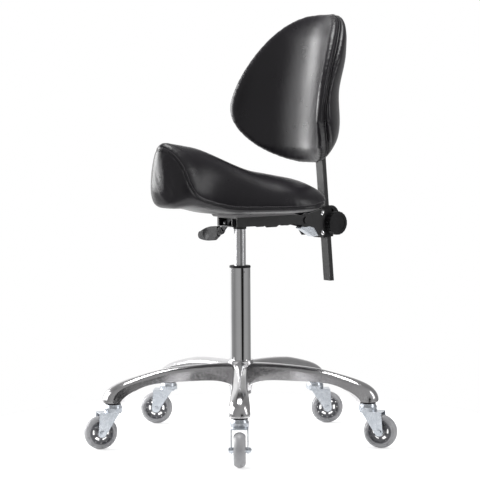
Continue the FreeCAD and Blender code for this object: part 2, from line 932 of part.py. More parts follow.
def side_stud():
    length = holder_side + side_knob_neck + stud_grip - bar_width / 2
    return to_side(tube(stud_radius - running_fit, 0.0, length), bar_width / 2 + seat_gap)


def rear_knob():
    knob = clamp_knob(rear_knob_radius, rear_knob_thickness, rear_knob_neck)
    return to_rear(knob, holder_rear_face + seat_gap)


def rear_stud():
    length = holder_rear_face + rear_knob_neck + stud_grip - bar_thickness / 2
    return to_rear(tube(stud_radius - running_fit, 0.0, length), bar_thickness / 2 + seat_gap)


def back_centre(z):
    """Y of the backrest's seam surface at its middle."""
    share = (z - back_low) / (back_high - back_low)
    return back_centre_low_y + (back_centre_high_y - back_centre_low_y) * share


back_slope = math.degrees(math.atan((back_centre_high_y - back_centre_low_y) / (back_high - back_low)))


def back_bar():
    """Flat steel bar, straight through the holder and bent back along the backrest's rear."""
    half = bar_thickness / 2
    lean = math.tan(math.radians(bar_lean))
    slope = math.tan(math.radians(back_slope))
    bend_y = lean_place(bar_bend_z)
    low_y = lean_place(bar_low_z)
    top_y = bend_y + (bar_top_z - bar_bend_z) * slope
    reach_low = half / math.cos(math.radians(bar_lean))
    reach_high = half / math.cos(math.radians(back_slope))
    middle = (reach_low + reach_high) / 2
    outline = [
        (low_y - reach_low, bar_low_z),
        (low_y + reach_low, bar_low_z),
        (bend_y + middle, bar_bend_z + half * (lean - slope) / 2),
        (top_y + reach_high, bar_top_z),
        (top_y - reach_high, bar_top_z),
        (bend_y - middle, bar_bend_z - half * (lean - slope) / 2),
    ]
    bar = side_plate(outline, -bar_width / 2, bar_width / 2)
    for z in (back_bolt_low_z, back_bolt_high_z):
        bar = bar.cut(square_to_back(tube(back_bolt_radius, -40.0, 60.0), z))
    return bar


def square_to_back(shape, z):
    """Copy of a shape drawn along +Z, laid along the backrest's rearward normal at a height."""
    copy = shape.copy()
    copy.rotate(V(0, 0, 0), V(1, 0, 0), -90.0)
    copy.rotate(V(0, 0, 0), V(1, 0, 0), -back_slope)
    copy.translate(V(0, back_centre(z), z))
    return copy


def back_outline(half, low, high):
    """Egg outline of the backrest in the XZ plane."""
    stops = []
    for tip, side in ((low, -1), (high, 1)):
        reach = side * (tip - back_widest_z)
        slack = (half + reach - math.hypot(half, reach)) / 2
        stops.append(V(half - slack, 0, back_widest_z + side * (reach - slack)))
    stops.insert(1, V(half, 0, back_widest_z))
    stops.append(V(0, 0, high))
    return with_mirror(tangent_arcs(V(0, 0, low), V(1, 0, 0), stops), [])


def back_slab(outline, offset_low, offset_high):
    """Part of the curved back inside an outline, between two offsets from the seam surface.

    A negative offset is towards the sitter.
    """
    low = back_low - outline_margin
    high = back_high + outline_margin
    inner = back_radius + offset_low
    outer = back_radius + offset_high
    turn = math.radians(back_wrap_angle)

    def at(radius, side):
        y = back_centre(low) - back_radius + radius * math.cos(turn * side)
        return V(radius * math.sin(turn * side), y, low)

    edges = [
        arc(at(inner, -1), at(inner, 0), at(inner, 1)),
        line(at(inner, 1), at(outer, 1)),
        arc(at(outer, 1), at(outer, 0), at(outer, -1)),
        line(at(outer, -1), at(inner, -1)),
    ]
    lean = V(0, back_centre(high) - back_centre(low), high - low)
    band = Part.Face(Part.Wire(edges)).extrude(lean)
    return band.common(outline.extrude(V(0, back_centre(high) + outer, 0)))


def back_pad():
    """Front cushion of the backrest, from the sitter's side to the seam."""
    outline = back_outline(back_half_width, back_low, back_high)
    return back_slab(outline, -back_front_thickness, -seat_gap / 2)


def back_cover():
    """Padded rear cover of the backrest, hollowed for the board."""
    outline = back_outline(back_half_width, back_low, back_high)
    cover = back_slab(outline, seat_gap / 2, back_rear_thickness)
    cover = cover.cut(board_slab(seat_gap, -2.0))
    for z in (back_bolt_low_z, back_bolt_high_z):
        cover = cover.cut(square_to_back(tube(back_bolt_radius, 0.0, 60.0), z))
    return cover


def board_slab(grow, front):
    """Curved slab with the board's outline, grown by a clearance, from a front offset to its rear."""
    half = back_half_width - back_board_inset + grow
    outline = back_outline(half, back_board_low - grow, back_board_high + grow)
    return back_slab(outline, front, back_board_front + back_board_thickness + grow)


def back_board():
    """Curved board that the cushion and the rear cover are fixed to."""
    board = board_slab(0.0, back_board_front)
    for z in (back_bolt_low_z, back_bolt_high_z):
        board = board.cut(square_to_back(tube(back_bolt_radius, -10.0, 60.0), z))
    return board


def back_bolts():
    """Two bolts with domed heads and spacers that hold the backrest's board to the bar."""
    solids = []
    for z in (back_bolt_low_z, back_bolt_high_z):
        bar_rear = bar_rear_offset(z)
        shank = tube(back_bolt_radius, back_board_front + 0.5, bar_rear + 1.0)
        spacer = tube(back_bolt_head, back_rear_thickness + seat_gap, bar_rear - bar_thickness)
        head = tube(back_bolt_head, bar_rear, bar_rear + 3.6)
        head = head.makeFillet(2.4, [edge for edge in head.Edges if edge.BoundBox.ZMin > bar_rear + 1.0])
        solids.append(square_to_back(merged([shank, spacer, head]), z))
    return Part.makeCompound(solids)


def bar_rear_offset(z):
    """Distance from the seam surface to the bar's rear face, square to the backrest."""
    slope = math.tan(math.radians(back_slope))
    bar_y = lean_place(bar_bend_z) + (z - bar_bend_z) * slope
    return (bar_y - back_centre(z)) * math.cos(math.radians(back_slope)) + bar_thickness / 2


# Casters are drawn with the stem on the Z axis and the wheel trailing along +X.

fork_top = foot_height - fork_top_drop


def fork():
    """Pressed fork: a crown, a raised ball ring and two cheeks that slant back to the axle."""
    half = fork_gap / 2 + fork_plate
    crown = block(-fork_back, fork_front, -half, half, fork_top - fork_plate, fork_top)
    ball_ring = tube(crown_ring_radius, fork_top, fork_top + crown_ring_height)
    dish = tube(stem_head_radius + 4.0, fork_top + 2.0, fork_top + crown_ring_height)
    pieces = [crown, ball_ring.cut(dish)]
    axle_z = wheel_radius
    for side in (-1, 1):
        y = min(side * half, side * (half - fork_plate))
        corners = [
            V(-fork_back + 4.0, y, fork_top),
            V(fork_front, y, fork_top),
            V(trail + fork_tip, y, axle_z + 4.0),
            V(trail, y, axle_z - fork_tip),
            V(trail - fork_tip * 0.9, y, axle_z - 4.0),
        ]
        edges = [
            line(corners[0], corners[1]),
            line(corners[1], corners[2]),
            arc(corners[2], V(trail + fork_tip * 0.72, y, axle_z - fork_tip * 0.72), corners[3]),
            arc(corners[3], V(trail - fork_tip * 0.6, y, axle_z - fork_tip * 0.8), corners[4]),
            line(corners[4], corners[0]),
        ]
        pieces.append(Part.Face(Part.Wire(edges)).extrude(V(0, fork_plate, 0)))
    body = merged(pieces)
    stem_hole = tube(stem_radius + running_fit, fork_top - fork_plate - 1.0, fork_top + crown_ring_height + 1.0)
    axle_hole = bar_y(axle_radius, -half - 1.0, half + 1.0, trail, axle_z)
    return body.cut(stem_hole.fuse(axle_hole))


def caster_stem():
    """Stem from its rivet head under the fork's crown up into the foot's socket."""
    head_top = fork_top - fork_plate - seat_gap
    head = tube(stem_head_radius, head_top - 3.0, head_top)
    shank = tube(stem_radius, head_top - 0.5, foot_height + stem_socket_depth)
    return merged([head, shank])


def stem_washer():
    return ring(washer_radius, stem_radius, foot_height - washer_thickness, foot_height)


def swivel_race():
    """Upper race of the swivel: a cup with a rim, fixed on the stem under the washer."""
    high = foot_height - washer_thickness
    low = high - race_height
    cup = Part.makeCone(crown_ring_radius, washer_radius - 1.0, race_height, V(0, 0, low))
    return cup.cut(tube(stem_radius, low, high))


def axle_set():
    """Axle bolt with its head and nut, and the two spacers between the cheeks and the bearings."""
    half = fork_gap / 2 + fork_plate
    bolt = bar_y(axle_radius, -half - 5.0, half + 7.0, trail, wheel_radius)
    head = hexagon(6.6, -half - 4.5, -half)
    nut = hexagon(6.6, half, half + 5.0)
    bolt = merged([bolt, head])
    nut = nut.cut(bar_y(axle_radius, half, half + 8.0, trail, wheel_radius))
    inner = core_width / 2 + seat_gap
    solids = [bolt, nut]
    for side in (-1, 1):
        y_low = min(side * inner, side * fork_gap / 2)
        y_high = max(side * inner, side * fork_gap / 2)
        spacer = bar_y(axle_radius + 2.5, y_low, y_high, trail, wheel_radius)
        solids.append(spacer.cut(bar_y(axle_radius, y_low, y_high, trail, wheel_radius)))
    return Part.makeCompound(solids)


def hexagon(radius, y_low, y_high):
    """Six-sided prism along Y round the wheel's axis."""
    corners = []
    for index in range(6):
        angle = math.pi * index / 3
        corners.append((trail + radius * math.cos(angle), wheel_radius + radius * math.sin(angle)))
    return front_plate(corners, y_low, y_high)


def spun(points_and_edges):
    """Solid of revolution about the wheel's axis from a closed (across, radius) outline."""
    face = Part.Face(Part.Wire(points_and_edges))
    return face.revolve(V(trail, 0, wheel_radius), V(0, 1, 0), 360.0)


def wheel_point(across, radius):
    return V(trail, across, wheel_radius + radius)


def tyre():
    """Round-shouldered tyre moulded over the core's rim."""
    half = tyre_width / 2
    base = core_width / 2
    shoulder = core_radius + tyre_shoulder
    points = [
        wheel_point(-base, core_radius),
        wheel_point(-half, shoulder),
        wheel_point(0, wheel_radius),
        wheel_point(half, shoulder),
        wheel_point(base, core_radius),
    ]
    edges = [
        line(points[0], points[1]),
        arc(points[1], points[2], points[3]),
        line(points[3], points[4]),
        line(points[4], points[0]),
    ]
    return spun(edges)


def wheel_core():
    """Spoked core: a rim with a ring of round holes, a web with arc slots and a hub for two bearings."""
    half = core_width / 2
    solid = bar_y(core_radius, -half, half, trail, wheel_radius)
    for side in (-1, 1):
        y_low = min(side * core_web / 2, side * (half + 1.0))
        dish = bar_y(core_radius - 1.6, y_low, y_low + half + 1.0 - core_web / 2, trail, wheel_radius)
        island = bar_y(bearing_radius + 2.5, y_low, y_low + half + 1.0 - core_web / 2, trail, wheel_radius)
        solid = solid.cut(dish.cut(island))
    holes = [bar_y(axle_radius + 2.0, -half - 1.0, half + 1.0, trail, wheel_radius)]
    for side in (-1, 1):
        y_low = min(side * (half - bearing_width), side * half)
        holes.append(bar_y(bearing_radius, y_low, y_low + bearing_width, trail, wheel_radius))
    for index in range(rim_slot_count):
        angle = 2 * math.pi * index / rim_slot_count
        x = trail + rim_slot_circle * math.cos(angle)
        z = wheel_radius + rim_slot_circle * math.sin(angle)
        holes.append(bar_y(rim_slot_radius, -half, half, x, z))
    slot_ring = bar_y(hub_slot_outer, -half, half, trail, wheel_radius)
    slot_ring = slot_ring.cut(bar_y(hub_slot_inner, -half, half, trail, wheel_radius))
    for index in range(hub_slot_count):
        middle = 360.0 * index / hub_slot_count
        reach = hub_slot_outer * 1.6
        corners = [(trail, wheel_radius)]
        for turn in (-hub_slot_angle / 2, hub_slot_angle / 2):
            angle = math.radians(middle + turn)
            corners.append((trail + reach * math.cos(angle), wheel_radius + reach * math.sin(angle)))
        holes.append(slot_ring.common(front_plate(corners, -half, half)))
    return solid.cut(holes[0].multiFuse(holes[1:]))


def wheel_bearings():
    """Two ball bearings, each drawn as one ring."""
    half = core_width / 2
    solids = []
    for side in (-1, 1):
        y_low = min(side * (half - bearing_width), side * half)
        outer = bar_y(bearing_radius, y_low, y_low + bearing_width, trail, wheel_radius)
        hole = bar_y(axle_radius + running_fit, y_low, y_low + bearing_width, trail, wheel_radius)
        solids.append(outer.cut(hole))
    return Part.makeCompound(solids)


def at_caster(shape, index, swing):
    """Copy of a caster piece at one leg, swung about its stem where it swivels."""
    x, y = stem_place(index)
    return turned(shape, leg_angle(index) + swing, x, y)


def five_of(shape):
    """The same fixed piece at every leg."""
    return Part.makeCompound([at_caster(shape, index, 0.0) for index in range(caster_count)])


def build():
    """Every piece by its node name."""
    pieces = {
        "star_base": star_base(),
        "column_tube": column_tube(),
        "tube_bush": tube_bush(),
        "caster_stems": five_of(caster_stem()),
        "stem_washers": five_of(stem_washer()),
        "swivel_races": five_of(swivel_race()),
        "thrust_bearing": thrust_bearing(),
        "piston_rod": piston_rod(),
        "rod_clip": rod_clip(),
        "gas_cylinder": gas_cylinder(),
        "release_pin": release_pin(),
        "mech_channel": mech_channel(),
        "seat_plate": seat_plate(),
        "plate_screws": plate_screws(),
        "seat_board": seat_board(),
        "seat_pad": seat_pad(),
        "pivot_bolt": pivot_bolt(),
        "lever_pin": lever_pin(),
        "lever_arm": lever_arm(),
        "lever_paddle": lever_paddle(),
        "hinge_bracket": hinge_bracket(),
        "under_strap": under_strap(),
        "bar_holder": bar_holder(),
        "bracket_bolts": bracket_bolts(),
        "side_knob": side_knob(),
        "side_stud": side_stud(),
        "rear_knob": rear_knob(),
        "rear_stud": rear_stud(),
        "back_bar": back_bar(),
        "back_board": back_board(),
        "back_pad": back_pad(),
        "back_cover": back_cover(),
        "back_bolts": back_bolts(),
    }
    caster_pieces = {
        "fork": fork(),
        "axle": axle_set(),
        "tyre": tyre(),
        "core": wheel_core(),
        "bearings": wheel_bearings(),
    }
    for index in range(caster_count):
        for name, shape in caster_pieces.items():
            pieces["%s_%d" % (name, index + 1)] = at_caster(shape, index, caster_swing[index])
    return pieces


def main():
    os.makedirs("parts", exist_ok=True)
    for name, shape in build().items():
        print(name, "solids", len(shape.Solids), "valid", shape.isValid(), "volume", round(shape.Volume / 1000.0, 1))
        shape.exportStep("parts/%s.step" % name)


main()
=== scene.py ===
import bmesh
import bpy
import json
import math
import numpy as np
from mathutils import Matrix, Vector
from mathutils.bvhtree import BVHTree


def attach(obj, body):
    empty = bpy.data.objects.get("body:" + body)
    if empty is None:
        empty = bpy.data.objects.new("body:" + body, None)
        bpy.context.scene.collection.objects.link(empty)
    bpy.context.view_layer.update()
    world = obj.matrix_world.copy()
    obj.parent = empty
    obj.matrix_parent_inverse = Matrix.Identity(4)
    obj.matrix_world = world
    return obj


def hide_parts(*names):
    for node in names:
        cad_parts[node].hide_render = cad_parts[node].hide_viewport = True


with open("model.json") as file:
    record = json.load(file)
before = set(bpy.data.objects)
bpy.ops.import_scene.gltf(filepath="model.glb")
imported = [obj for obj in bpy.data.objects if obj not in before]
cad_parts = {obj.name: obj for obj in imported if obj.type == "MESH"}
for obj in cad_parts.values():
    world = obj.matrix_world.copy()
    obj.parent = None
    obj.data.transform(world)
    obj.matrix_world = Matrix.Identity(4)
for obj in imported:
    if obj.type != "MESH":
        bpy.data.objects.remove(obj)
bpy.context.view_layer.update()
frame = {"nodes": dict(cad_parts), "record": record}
nodes = frame["nodes"]
scene = bpy.context.scene
scene.view_settings.view_transform = "Standard"
print("stage: frame loaded")


# Curves and grids

def splineThrough(points, count, closed=False):
    # Catmull-Rom: each span blends its two ends and their neighbours by cubic weights
    # the fine line is then read at even steps of its length
    knots = np.asarray(points, float)
    if closed:
        padded = np.vstack([knots[-1], knots, knots[:2]])
        spans = len(knots)
    else:
        padded = np.vstack([2 * knots[0] - knots[1], knots, 2 * knots[-1] - knots[-2]])
        spans = len(knots) - 1
    u = np.linspace(0, spans, spans * 24 + 1)
    span = np.minimum(u.astype(int), spans - 1)
    t = (u - span)[:, None]
    a, b, c, d = (padded[span + k] for k in range(4))
    fine = 0.5 * (2 * b + (c - a) * t + (2 * a - 5 * b + 4 * c - d) * t ** 2
                  + (3 * b - a - 3 * c + d) * t ** 3)
    run = np.concatenate([[0], np.cumsum(np.linalg.norm(np.diff(fine, axis=0), axis=1))])
    even = np.linspace(0, run[-1], count + (1 if closed else 0))
    if closed:
        even = even[:-1]
    return np.stack([np.interp(even, run, fine[:, k]) for k in range(fine.shape[1])], axis=1)


def smoothStep(x):
    # 3x^2 - 2x^3 between 0 and 1
    x = np.clip(x, 0.0, 1.0)
    return x * x * (3.0 - 2.0 * x)


def newPiece(name, verts, faces, material):
    mesh = bpy.data.meshes.new(name)
    mesh.from_pydata(np.asarray(verts, float).tolist(), [], [list(map(int, f)) for f in faces])
    mesh.validate()
    mesh.update()
    mesh.shade_smooth()
    piece = bpy.data.objects.new(name, mesh)
    scene.collection.objects.link(piece)
    mesh.materials.append(material)
    return piece


def ringFaces(rows, columns):
    # quads between neighbouring rows; the columns wrap round
    row = np.arange(rows - 1)[:, None] * columns
    here = np.arange(columns)[None, :]
    there = (here + 1) % columns
    quads = np.stack([row + here, row + there, row + columns + there, row + columns + here], axis=-1)
    return quads.reshape(-1, 4).tolist()


def cappedRings(rings):
    # closed skin: rows of points joined by quads, and a fan to the middle of each end row
    rings = np.asarray(rings, float)
    rows, columns, _ = rings.shape
    verts = rings.reshape(-1, 3)
    low = len(verts)
    verts = np.vstack([verts, rings[0].mean(axis=0), rings[-1].mean(axis=0)])
    faces = ringFaces(rows, columns)
    here = np.arange(columns)
    there = (here + 1) % columns
    top = (rows - 1) * columns
    first = np.stack([0 * here + low, there, here], axis=1)
    last = np.stack([0 * here + low + 1, top + here, top + there], axis=1)
    return verts, faces + np.stack([first, last], axis=1).reshape(-1, 3).tolist()


def faceOutward(piece):
    # normals worked out again, so that they point out of the closed skin
    work = bmesh.new()
    work.from_mesh(piece.data)
    bmesh.ops.recalc_face_normals(work, faces=work.faces)
    work.to_mesh(piece.data)
    work.free()
    return piece


def pathFrames(path):
    # closed path: tangent by central differences
    # the side vector is carried along by projecting out the tangent
    tangent = np.roll(path, -1, axis=0) - np.roll(path, 1, axis=0)
    tangent /= np.linalg.norm(tangent, axis=1)[:, None] + 1e-12
    side = np.zeros_like(path)
    start = np.cross(tangent[0], [0.0, 0.0, 1.0])
    if np.linalg.norm(start) < 0.1:
        start = np.cross(tangent[0], [1.0, 0.0, 0.0])
    side[0] = start / np.linalg.norm(start)
    for i in range(1, len(path)):
        v = side[i - 1] - tangent[i] * (side[i - 1] @ tangent[i])
        side[i] = v / (np.linalg.norm(v) + 1e-12)
    return tangent, side, np.cross(tangent, side)


def tubeAlong(name, path, look, material):
    # circle of the look's radius carried square to the closed path
    path = np.asarray(path, float)
    sides = look["sides"]
    _, side, up = pathFrames(path)
    turn = np.linspace(0, 2 * math.pi, sides, endpoint=False)
    wheel = np.cos(turn)[None, :, None] * side[:, None, :] + np.sin(turn)[None, :, None] * up[:, None, :]
    rings = path[:, None, :] + look["radius"] * wheel
    # the last ring meets the first where its side vector came round to
    shift = int(np.argmin(np.linalg.norm(rings[0] - rings[-1][0], axis=1)))
    here = np.arange(sides)
    there = (here + 1) % sides
    last = (len(path) - 1) * sides
    join = np.stack([last + here, last + there, (there + shift) % sides, (here + shift) % sides], axis=1)
    faces = ringFaces(len(path), sides) + join.tolist()
    return faceOutward(newPiece(name, rings.reshape(-1, 3), faces, material))


def surfaceOf(piece):
    mesh = piece.data
    return BVHTree.FromPolygons(readPoints(mesh).tolist(), [tuple(p.vertices) for p in mesh.polygons])


def laidOn(tree, points, lift=0.0):
    # nearest surface point of each path point, lifted along the normal
    out = []
    normals = []
    for p in np.asarray(points, float):
        hit, normal, _, _ = tree.find_nearest(Vector(p))
        out.append(np.array(hit) + np.array(normal) * lift)
        normals.append(np.array(normal))
    return np.array(out), np.array(normals)


def readPoints(mesh):
    co = np.empty(len(mesh.vertices) * 3)
    mesh.vertices.foreach_get("co", co)
    return co.reshape(-1, 3)


def readNormals(mesh):
    n = np.empty(len(mesh.vertices) * 3)
    mesh.vertices.foreach_get("normal", n)
    return n.reshape(-1, 3)


def writePoints(mesh, co):
    mesh.vertices.foreach_set("co", np.asarray(co, float).ravel())
    mesh.update()


def bakedMesh(piece):
    # the piece's mesh with its modifiers applied
    graph = bpy.context.evaluated_depsgraph_get()
    return bpy.data.meshes.new_from_object(piece.evaluated_get(graph))


def distanceToPath(points, path):
    # distance from each point to the nearest sample of the path, and that sample's number
    best = np.full(len(points), 1e9)
    where = np.zeros(len(points), int)
    for start in range(0, len(points), 4000):
        block = points[start:start + 4000]
        gap = np.linalg.norm(block[:, None, :] - path[None, :, :], axis=2)
        where[start:start + 4000] = gap.argmin(axis=1)
        best[start:start + 4000] = gap.min(axis=1)
    return best, where


def evenedOut(mesh, values, rounds):
    # each point's value moves halfway to the mean of its neighbours', round after round
    edges = np.empty(len(mesh.edges) * 2, int)
    mesh.edges.foreach_get("vertices", edges)
    ends = edges.reshape(-1, 2)
    count = np.bincount(edges, minlength=len(values))
    for _ in range(rounds):
        total = np.bincount(ends[:, 0], values[ends[:, 1]], len(values))
        total += np.bincount(ends[:, 1], values[ends[:, 0]], len(values))
        values = 0.5 * values + 0.5 * total / np.maximum(count, 1)
    return values


clothLook = {
    "smoothRounds": 3, "smoothFactor": 0.5, "quality": 5, "mass": 0.3, "frames": 14, "inset": 0.001,
    "stiffness": 30.0, "shear": 10.0, "bending": 6.0,
}


def swollen(piece, look):
    # even remesh, then a cloth skin under pressure from a little inside the form
    # the taut cover keeps a share of the skin's rise along the normals, evened out, under the cap
    remesh = piece.modifiers.new("even", "REMESH")
    remesh.mode = "VOXEL"
    remesh.voxel_size = look["voxel"]
    remesh.use_smooth_shade = True
    relaxed = piece.modifiers.new("relaxed", "SMOOTH")
    relaxed.iterations = look["smoothRounds"]
    relaxed.factor = look["smoothFactor"]
    soft = bakedMesh(piece)
    piece.modifiers.clear()
    materials = list(piece.data.materials)
    piece.data = soft
    start = readPoints(soft)
    normals = readNormals(soft)
    writePoints(soft, start - normals * look["inset"])
    cloth = piece.modifiers.new("swell", "CLOTH")
    cloth.settings.quality = look["quality"]
    cloth.settings.mass = look["mass"]
    cloth.settings.tension_stiffness = look["stiffness"]
    cloth.settings.compression_stiffness = look["stiffness"]
    cloth.settings.shear_stiffness = look["shear"]
    cloth.settings.bending_stiffness = look["bending"]
    cloth.settings.use_pressure = True
    cloth.settings.uniform_pressure_force = look["pressure"]
    cloth.settings.effector_weights.gravity = 0
    cloth.point_cache.frame_start = 1
    cloth.point_cache.frame_end = look["frames"]
    for step in range(1, look["frames"] + 1):
        scene.frame_set(step)
    blown = readPoints(bakedMesh(piece))
    piece.modifiers.clear()
    scene.frame_set(1)
    rise = np.einsum("ij,ij->i", blown - start, normals)
    print("stage: swell", piece.name, "mm from", round(float(rise.min()) * 1000, 1),
          "to", round(float(rise.max()) * 1000, 1), "mean", round(float(rise.mean()) * 1000, 1))
    rise = evenedOut(soft, np.clip(rise, -look["cap"], look["cap"]), look["rounds"]) * look["share"]
    writePoints(soft, start + normals * rise[:, None])
    finer = piece.modifiers.new("finer", "SUBSURF")
    finer.levels = 1
    finer.render_levels = 1
    final = bakedMesh(piece)
    piece.modifiers.clear()
    piece.data = final
    final.materials.clear()
    for material in materials:
        final.materials.append(material)
    final.shade_smooth()
    return piece


# Materials

def shaderNodes(name):
    material = bpy.data.materials.new(name)
    material.use_nodes = True
    tree = material.node_tree
    shader = tree.nodes["Principled BSDF"]
    place = tree.nodes.new("ShaderNodeTexCoord")
    return material, tree, shader, place.outputs["Object"]


def noiseNode(tree, place, scale, detail=3.0, rough=0.5, stretch=None):
    if stretch is not None:
        mapping = tree.nodes.new("ShaderNodeMapping")
        mapping.inputs["Scale"].default_value = stretch
        tree.links.new(place, mapping.inputs["Vector"])
        place = mapping.outputs["Vector"]
    noise = tree.nodes.new("ShaderNodeTexNoise")
    noise.inputs["Scale"].default_value = scale
    noise.inputs["Detail"].default_value = detail
    noise.inputs["Roughness"].default_value = rough
    tree.links.new(place, noise.inputs["Vector"])
    return noise.outputs["Fac"]


def rangeNode(tree, value, low, high, fromLow=0.3, fromHigh=0.7):
    node = tree.nodes.new("ShaderNodeMapRange")
    node.inputs["From Min"].default_value = fromLow
    node.inputs["From Max"].default_value = fromHigh
    node.inputs["To Min"].default_value = low
    node.inputs["To Max"].default_value = high
    tree.links.new(value, node.inputs["Value"])
    return node.outputs["Result"]


def colourBetween(tree, value, low, high):
    ramp = tree.nodes.new("ShaderNodeValToRGB")
    ramp.color_ramp.elements[0].position = 0.3
    ramp.color_ramp.elements[0].color = (*low, 1)
    ramp.color_ramp.elements[1].position = 0.7
    ramp.color_ramp.elements[1].color = (*high, 1)
    tree.links.new(value, ramp.inputs["Fac"])
    return ramp.outputs["Color"]


def bumpNode(tree, height, distance, strength, under=None):
    bump = tree.nodes.new("ShaderNodeBump")
    bump.inputs["Distance"].default_value = distance
    bump.inputs["Strength"].default_value = strength
    tree.links.new(height, bump.inputs["Height"])
    if under is not None:
        tree.links.new(under, bump.inputs["Normal"])
    return bump.outputs["Normal"]


def edgeWear(tree, colour, bright, radius):
    # the bevelled normal differs from the true one only near sharp edges, which lightens them
    bevel = tree.nodes.new("ShaderNodeBevel")
    bevel.samples = 4
    bevel.inputs["Radius"].default_value = radius
    geometry = tree.nodes.new("ShaderNodeNewGeometry")
    dot = tree.nodes.new("ShaderNodeVectorMath")
    dot.operation = "DOT_PRODUCT"
    tree.links.new(bevel.outputs["Normal"], dot.inputs[0])
    tree.links.new(geometry.outputs["Normal"], dot.inputs[1])
    edge = rangeNode(tree, dot.outputs["Value"], 1.0, 0.0, 0.80, 0.98)
    mix = tree.nodes.new("ShaderNodeMix")
    mix.data_type = "RGBA"
    mix.inputs["B"].default_value = (*bright, 1)
    tree.links.new(edge, mix.inputs["Factor"])
    tree.links.new(colour, mix.inputs["A"])
    return mix.outputs["Result"]


def metalMaterial(name, look):
    # cloudy colour, and a fine grain in the roughness and the bump; some finishes have lighter edges
    material, tree, shader, place = shaderNodes(name)
    cloud = noiseNode(tree, place, look["cloudScale"], 4.0, 0.55)
    fine = noiseNode(tree, place, look["grainScale"], 2.0, 0.6, look.get("stretch"))
    colour = colourBetween(tree, cloud, look["dark"], look["light"])
    if "worn" in look:
        colour = edgeWear(tree, colour, look["worn"], look["wornRadius"])
    tree.links.new(colour, shader.inputs["Base Color"])
    tree.links.new(rangeNode(tree, fine, look["smooth"], look["rough"]), shader.inputs["Roughness"])
    tree.links.new(bumpNode(tree, fine, look["depth"], look["bump"]), shader.inputs["Normal"])
    shader.inputs["Metallic"].default_value = look["metallic"]
    shader.inputs["Specular IOR Level"].default_value = look.get("specular", 0.5)
    return material


castLook = {
    "dark": (0.66, 0.65, 0.66), "light": (0.79, 0.785, 0.795), "cloudScale": 9.0, "grainScale": 160.0,
    "smooth": 0.13, "rough": 0.21, "depth": 0.0004, "bump": 0.10, "metallic": 1.0,
}
chromeLook = {
    "dark": (0.84, 0.84, 0.855), "light": (0.92, 0.92, 0.93), "cloudScale": 14.0, "grainScale": 420.0,
    "smooth": 0.035, "rough": 0.075, "depth": 0.0002, "bump": 0.05, "metallic": 1.0,
}
zincLook = {
    "dark": (0.52, 0.56, 0.61), "light": (0.68, 0.71, 0.755), "cloudScale": 120.0, "grainScale": 900.0,
    "smooth": 0.22, "rough": 0.36, "depth": 0.0003, "bump": 0.18, "metallic": 0.85,
}
steelLook = {
    "dark": (0.50, 0.50, 0.52), "light": (0.66, 0.66, 0.68), "cloudScale": 60.0, "grainScale": 700.0,
    "smooth": 0.22, "rough": 0.36, "depth": 0.0002, "bump": 0.15, "metallic": 1.0,
}
cylinderLook = {
    "dark": (0.70, 0.70, 0.72), "light": (0.80, 0.80, 0.815), "cloudScale": 20.0, "grainScale": 500.0,
    "smooth": 0.20, "rough": 0.30, "depth": 0.0002, "bump": 0.12, "metallic": 1.0,
    "stretch": (1.0, 1.0, 9.0),
}
blackSteelLook = {
    "dark": (0.008, 0.008, 0.009), "light": (0.014, 0.0135, 0.015),
    "cloudScale": 40.0, "grainScale": 1500.0,
    "smooth": 0.34, "rough": 0.50, "depth": 0.0003, "bump": 0.35, "metallic": 0.0,
    "worn": (0.05, 0.05, 0.052), "wornRadius": 0.0012,
}
blackPlasticLook = {
    "dark": (0.011, 0.011, 0.0125), "light": (0.019, 0.0185, 0.0205),
    "cloudScale": 60.0, "grainScale": 2200.0,
    "smooth": 0.42, "rough": 0.58, "depth": 0.0003, "bump": 0.3, "metallic": 0.0, "specular": 0.22,
}
coreLook = {
    "dark": (0.13, 0.13, 0.145), "light": (0.21, 0.21, 0.23), "cloudScale": 70.0, "grainScale": 900.0,
    "smooth": 0.28, "rough": 0.40, "depth": 0.0002, "bump": 0.2, "metallic": 0.0,
}

polishedAluminium = metalMaterial("polishedAluminium", castLook)
chrome = metalMaterial("chrome", chromeLook)
zinc = metalMaterial("zinc", zincLook)
steel = metalMaterial("steel", steelLook)
cylinderSteel = metalMaterial("cylinderSteel", cylinderLook)
blackSteel = metalMaterial("blackSteel", blackSteelLook)
blackPlastic = metalMaterial("blackPlastic", blackPlasticLook)
greyCore = metalMaterial("greyCore", coreLook)


vinylLook = {
    "dark": (0.0070, 0.0056, 0.0085), "light": (0.0096, 0.0078, 0.0116), "smooth": 0.27, "rough": 0.31,
    "cloudScale": 11.0, "patchScale": 26.0, "warpScale": 300.0, "warp": 0.003,
    "grainScale": 950.0, "grainDepth": 0.00022, "grainEdge": 0.22, "grainBump": 0.20,
    "creaseScale": 42.0, "creaseDepth": 0.0011, "creaseBump": 0.04,
    "specular": 0.58, "sheen": 0.03, "sheenRough": 0.4,
}


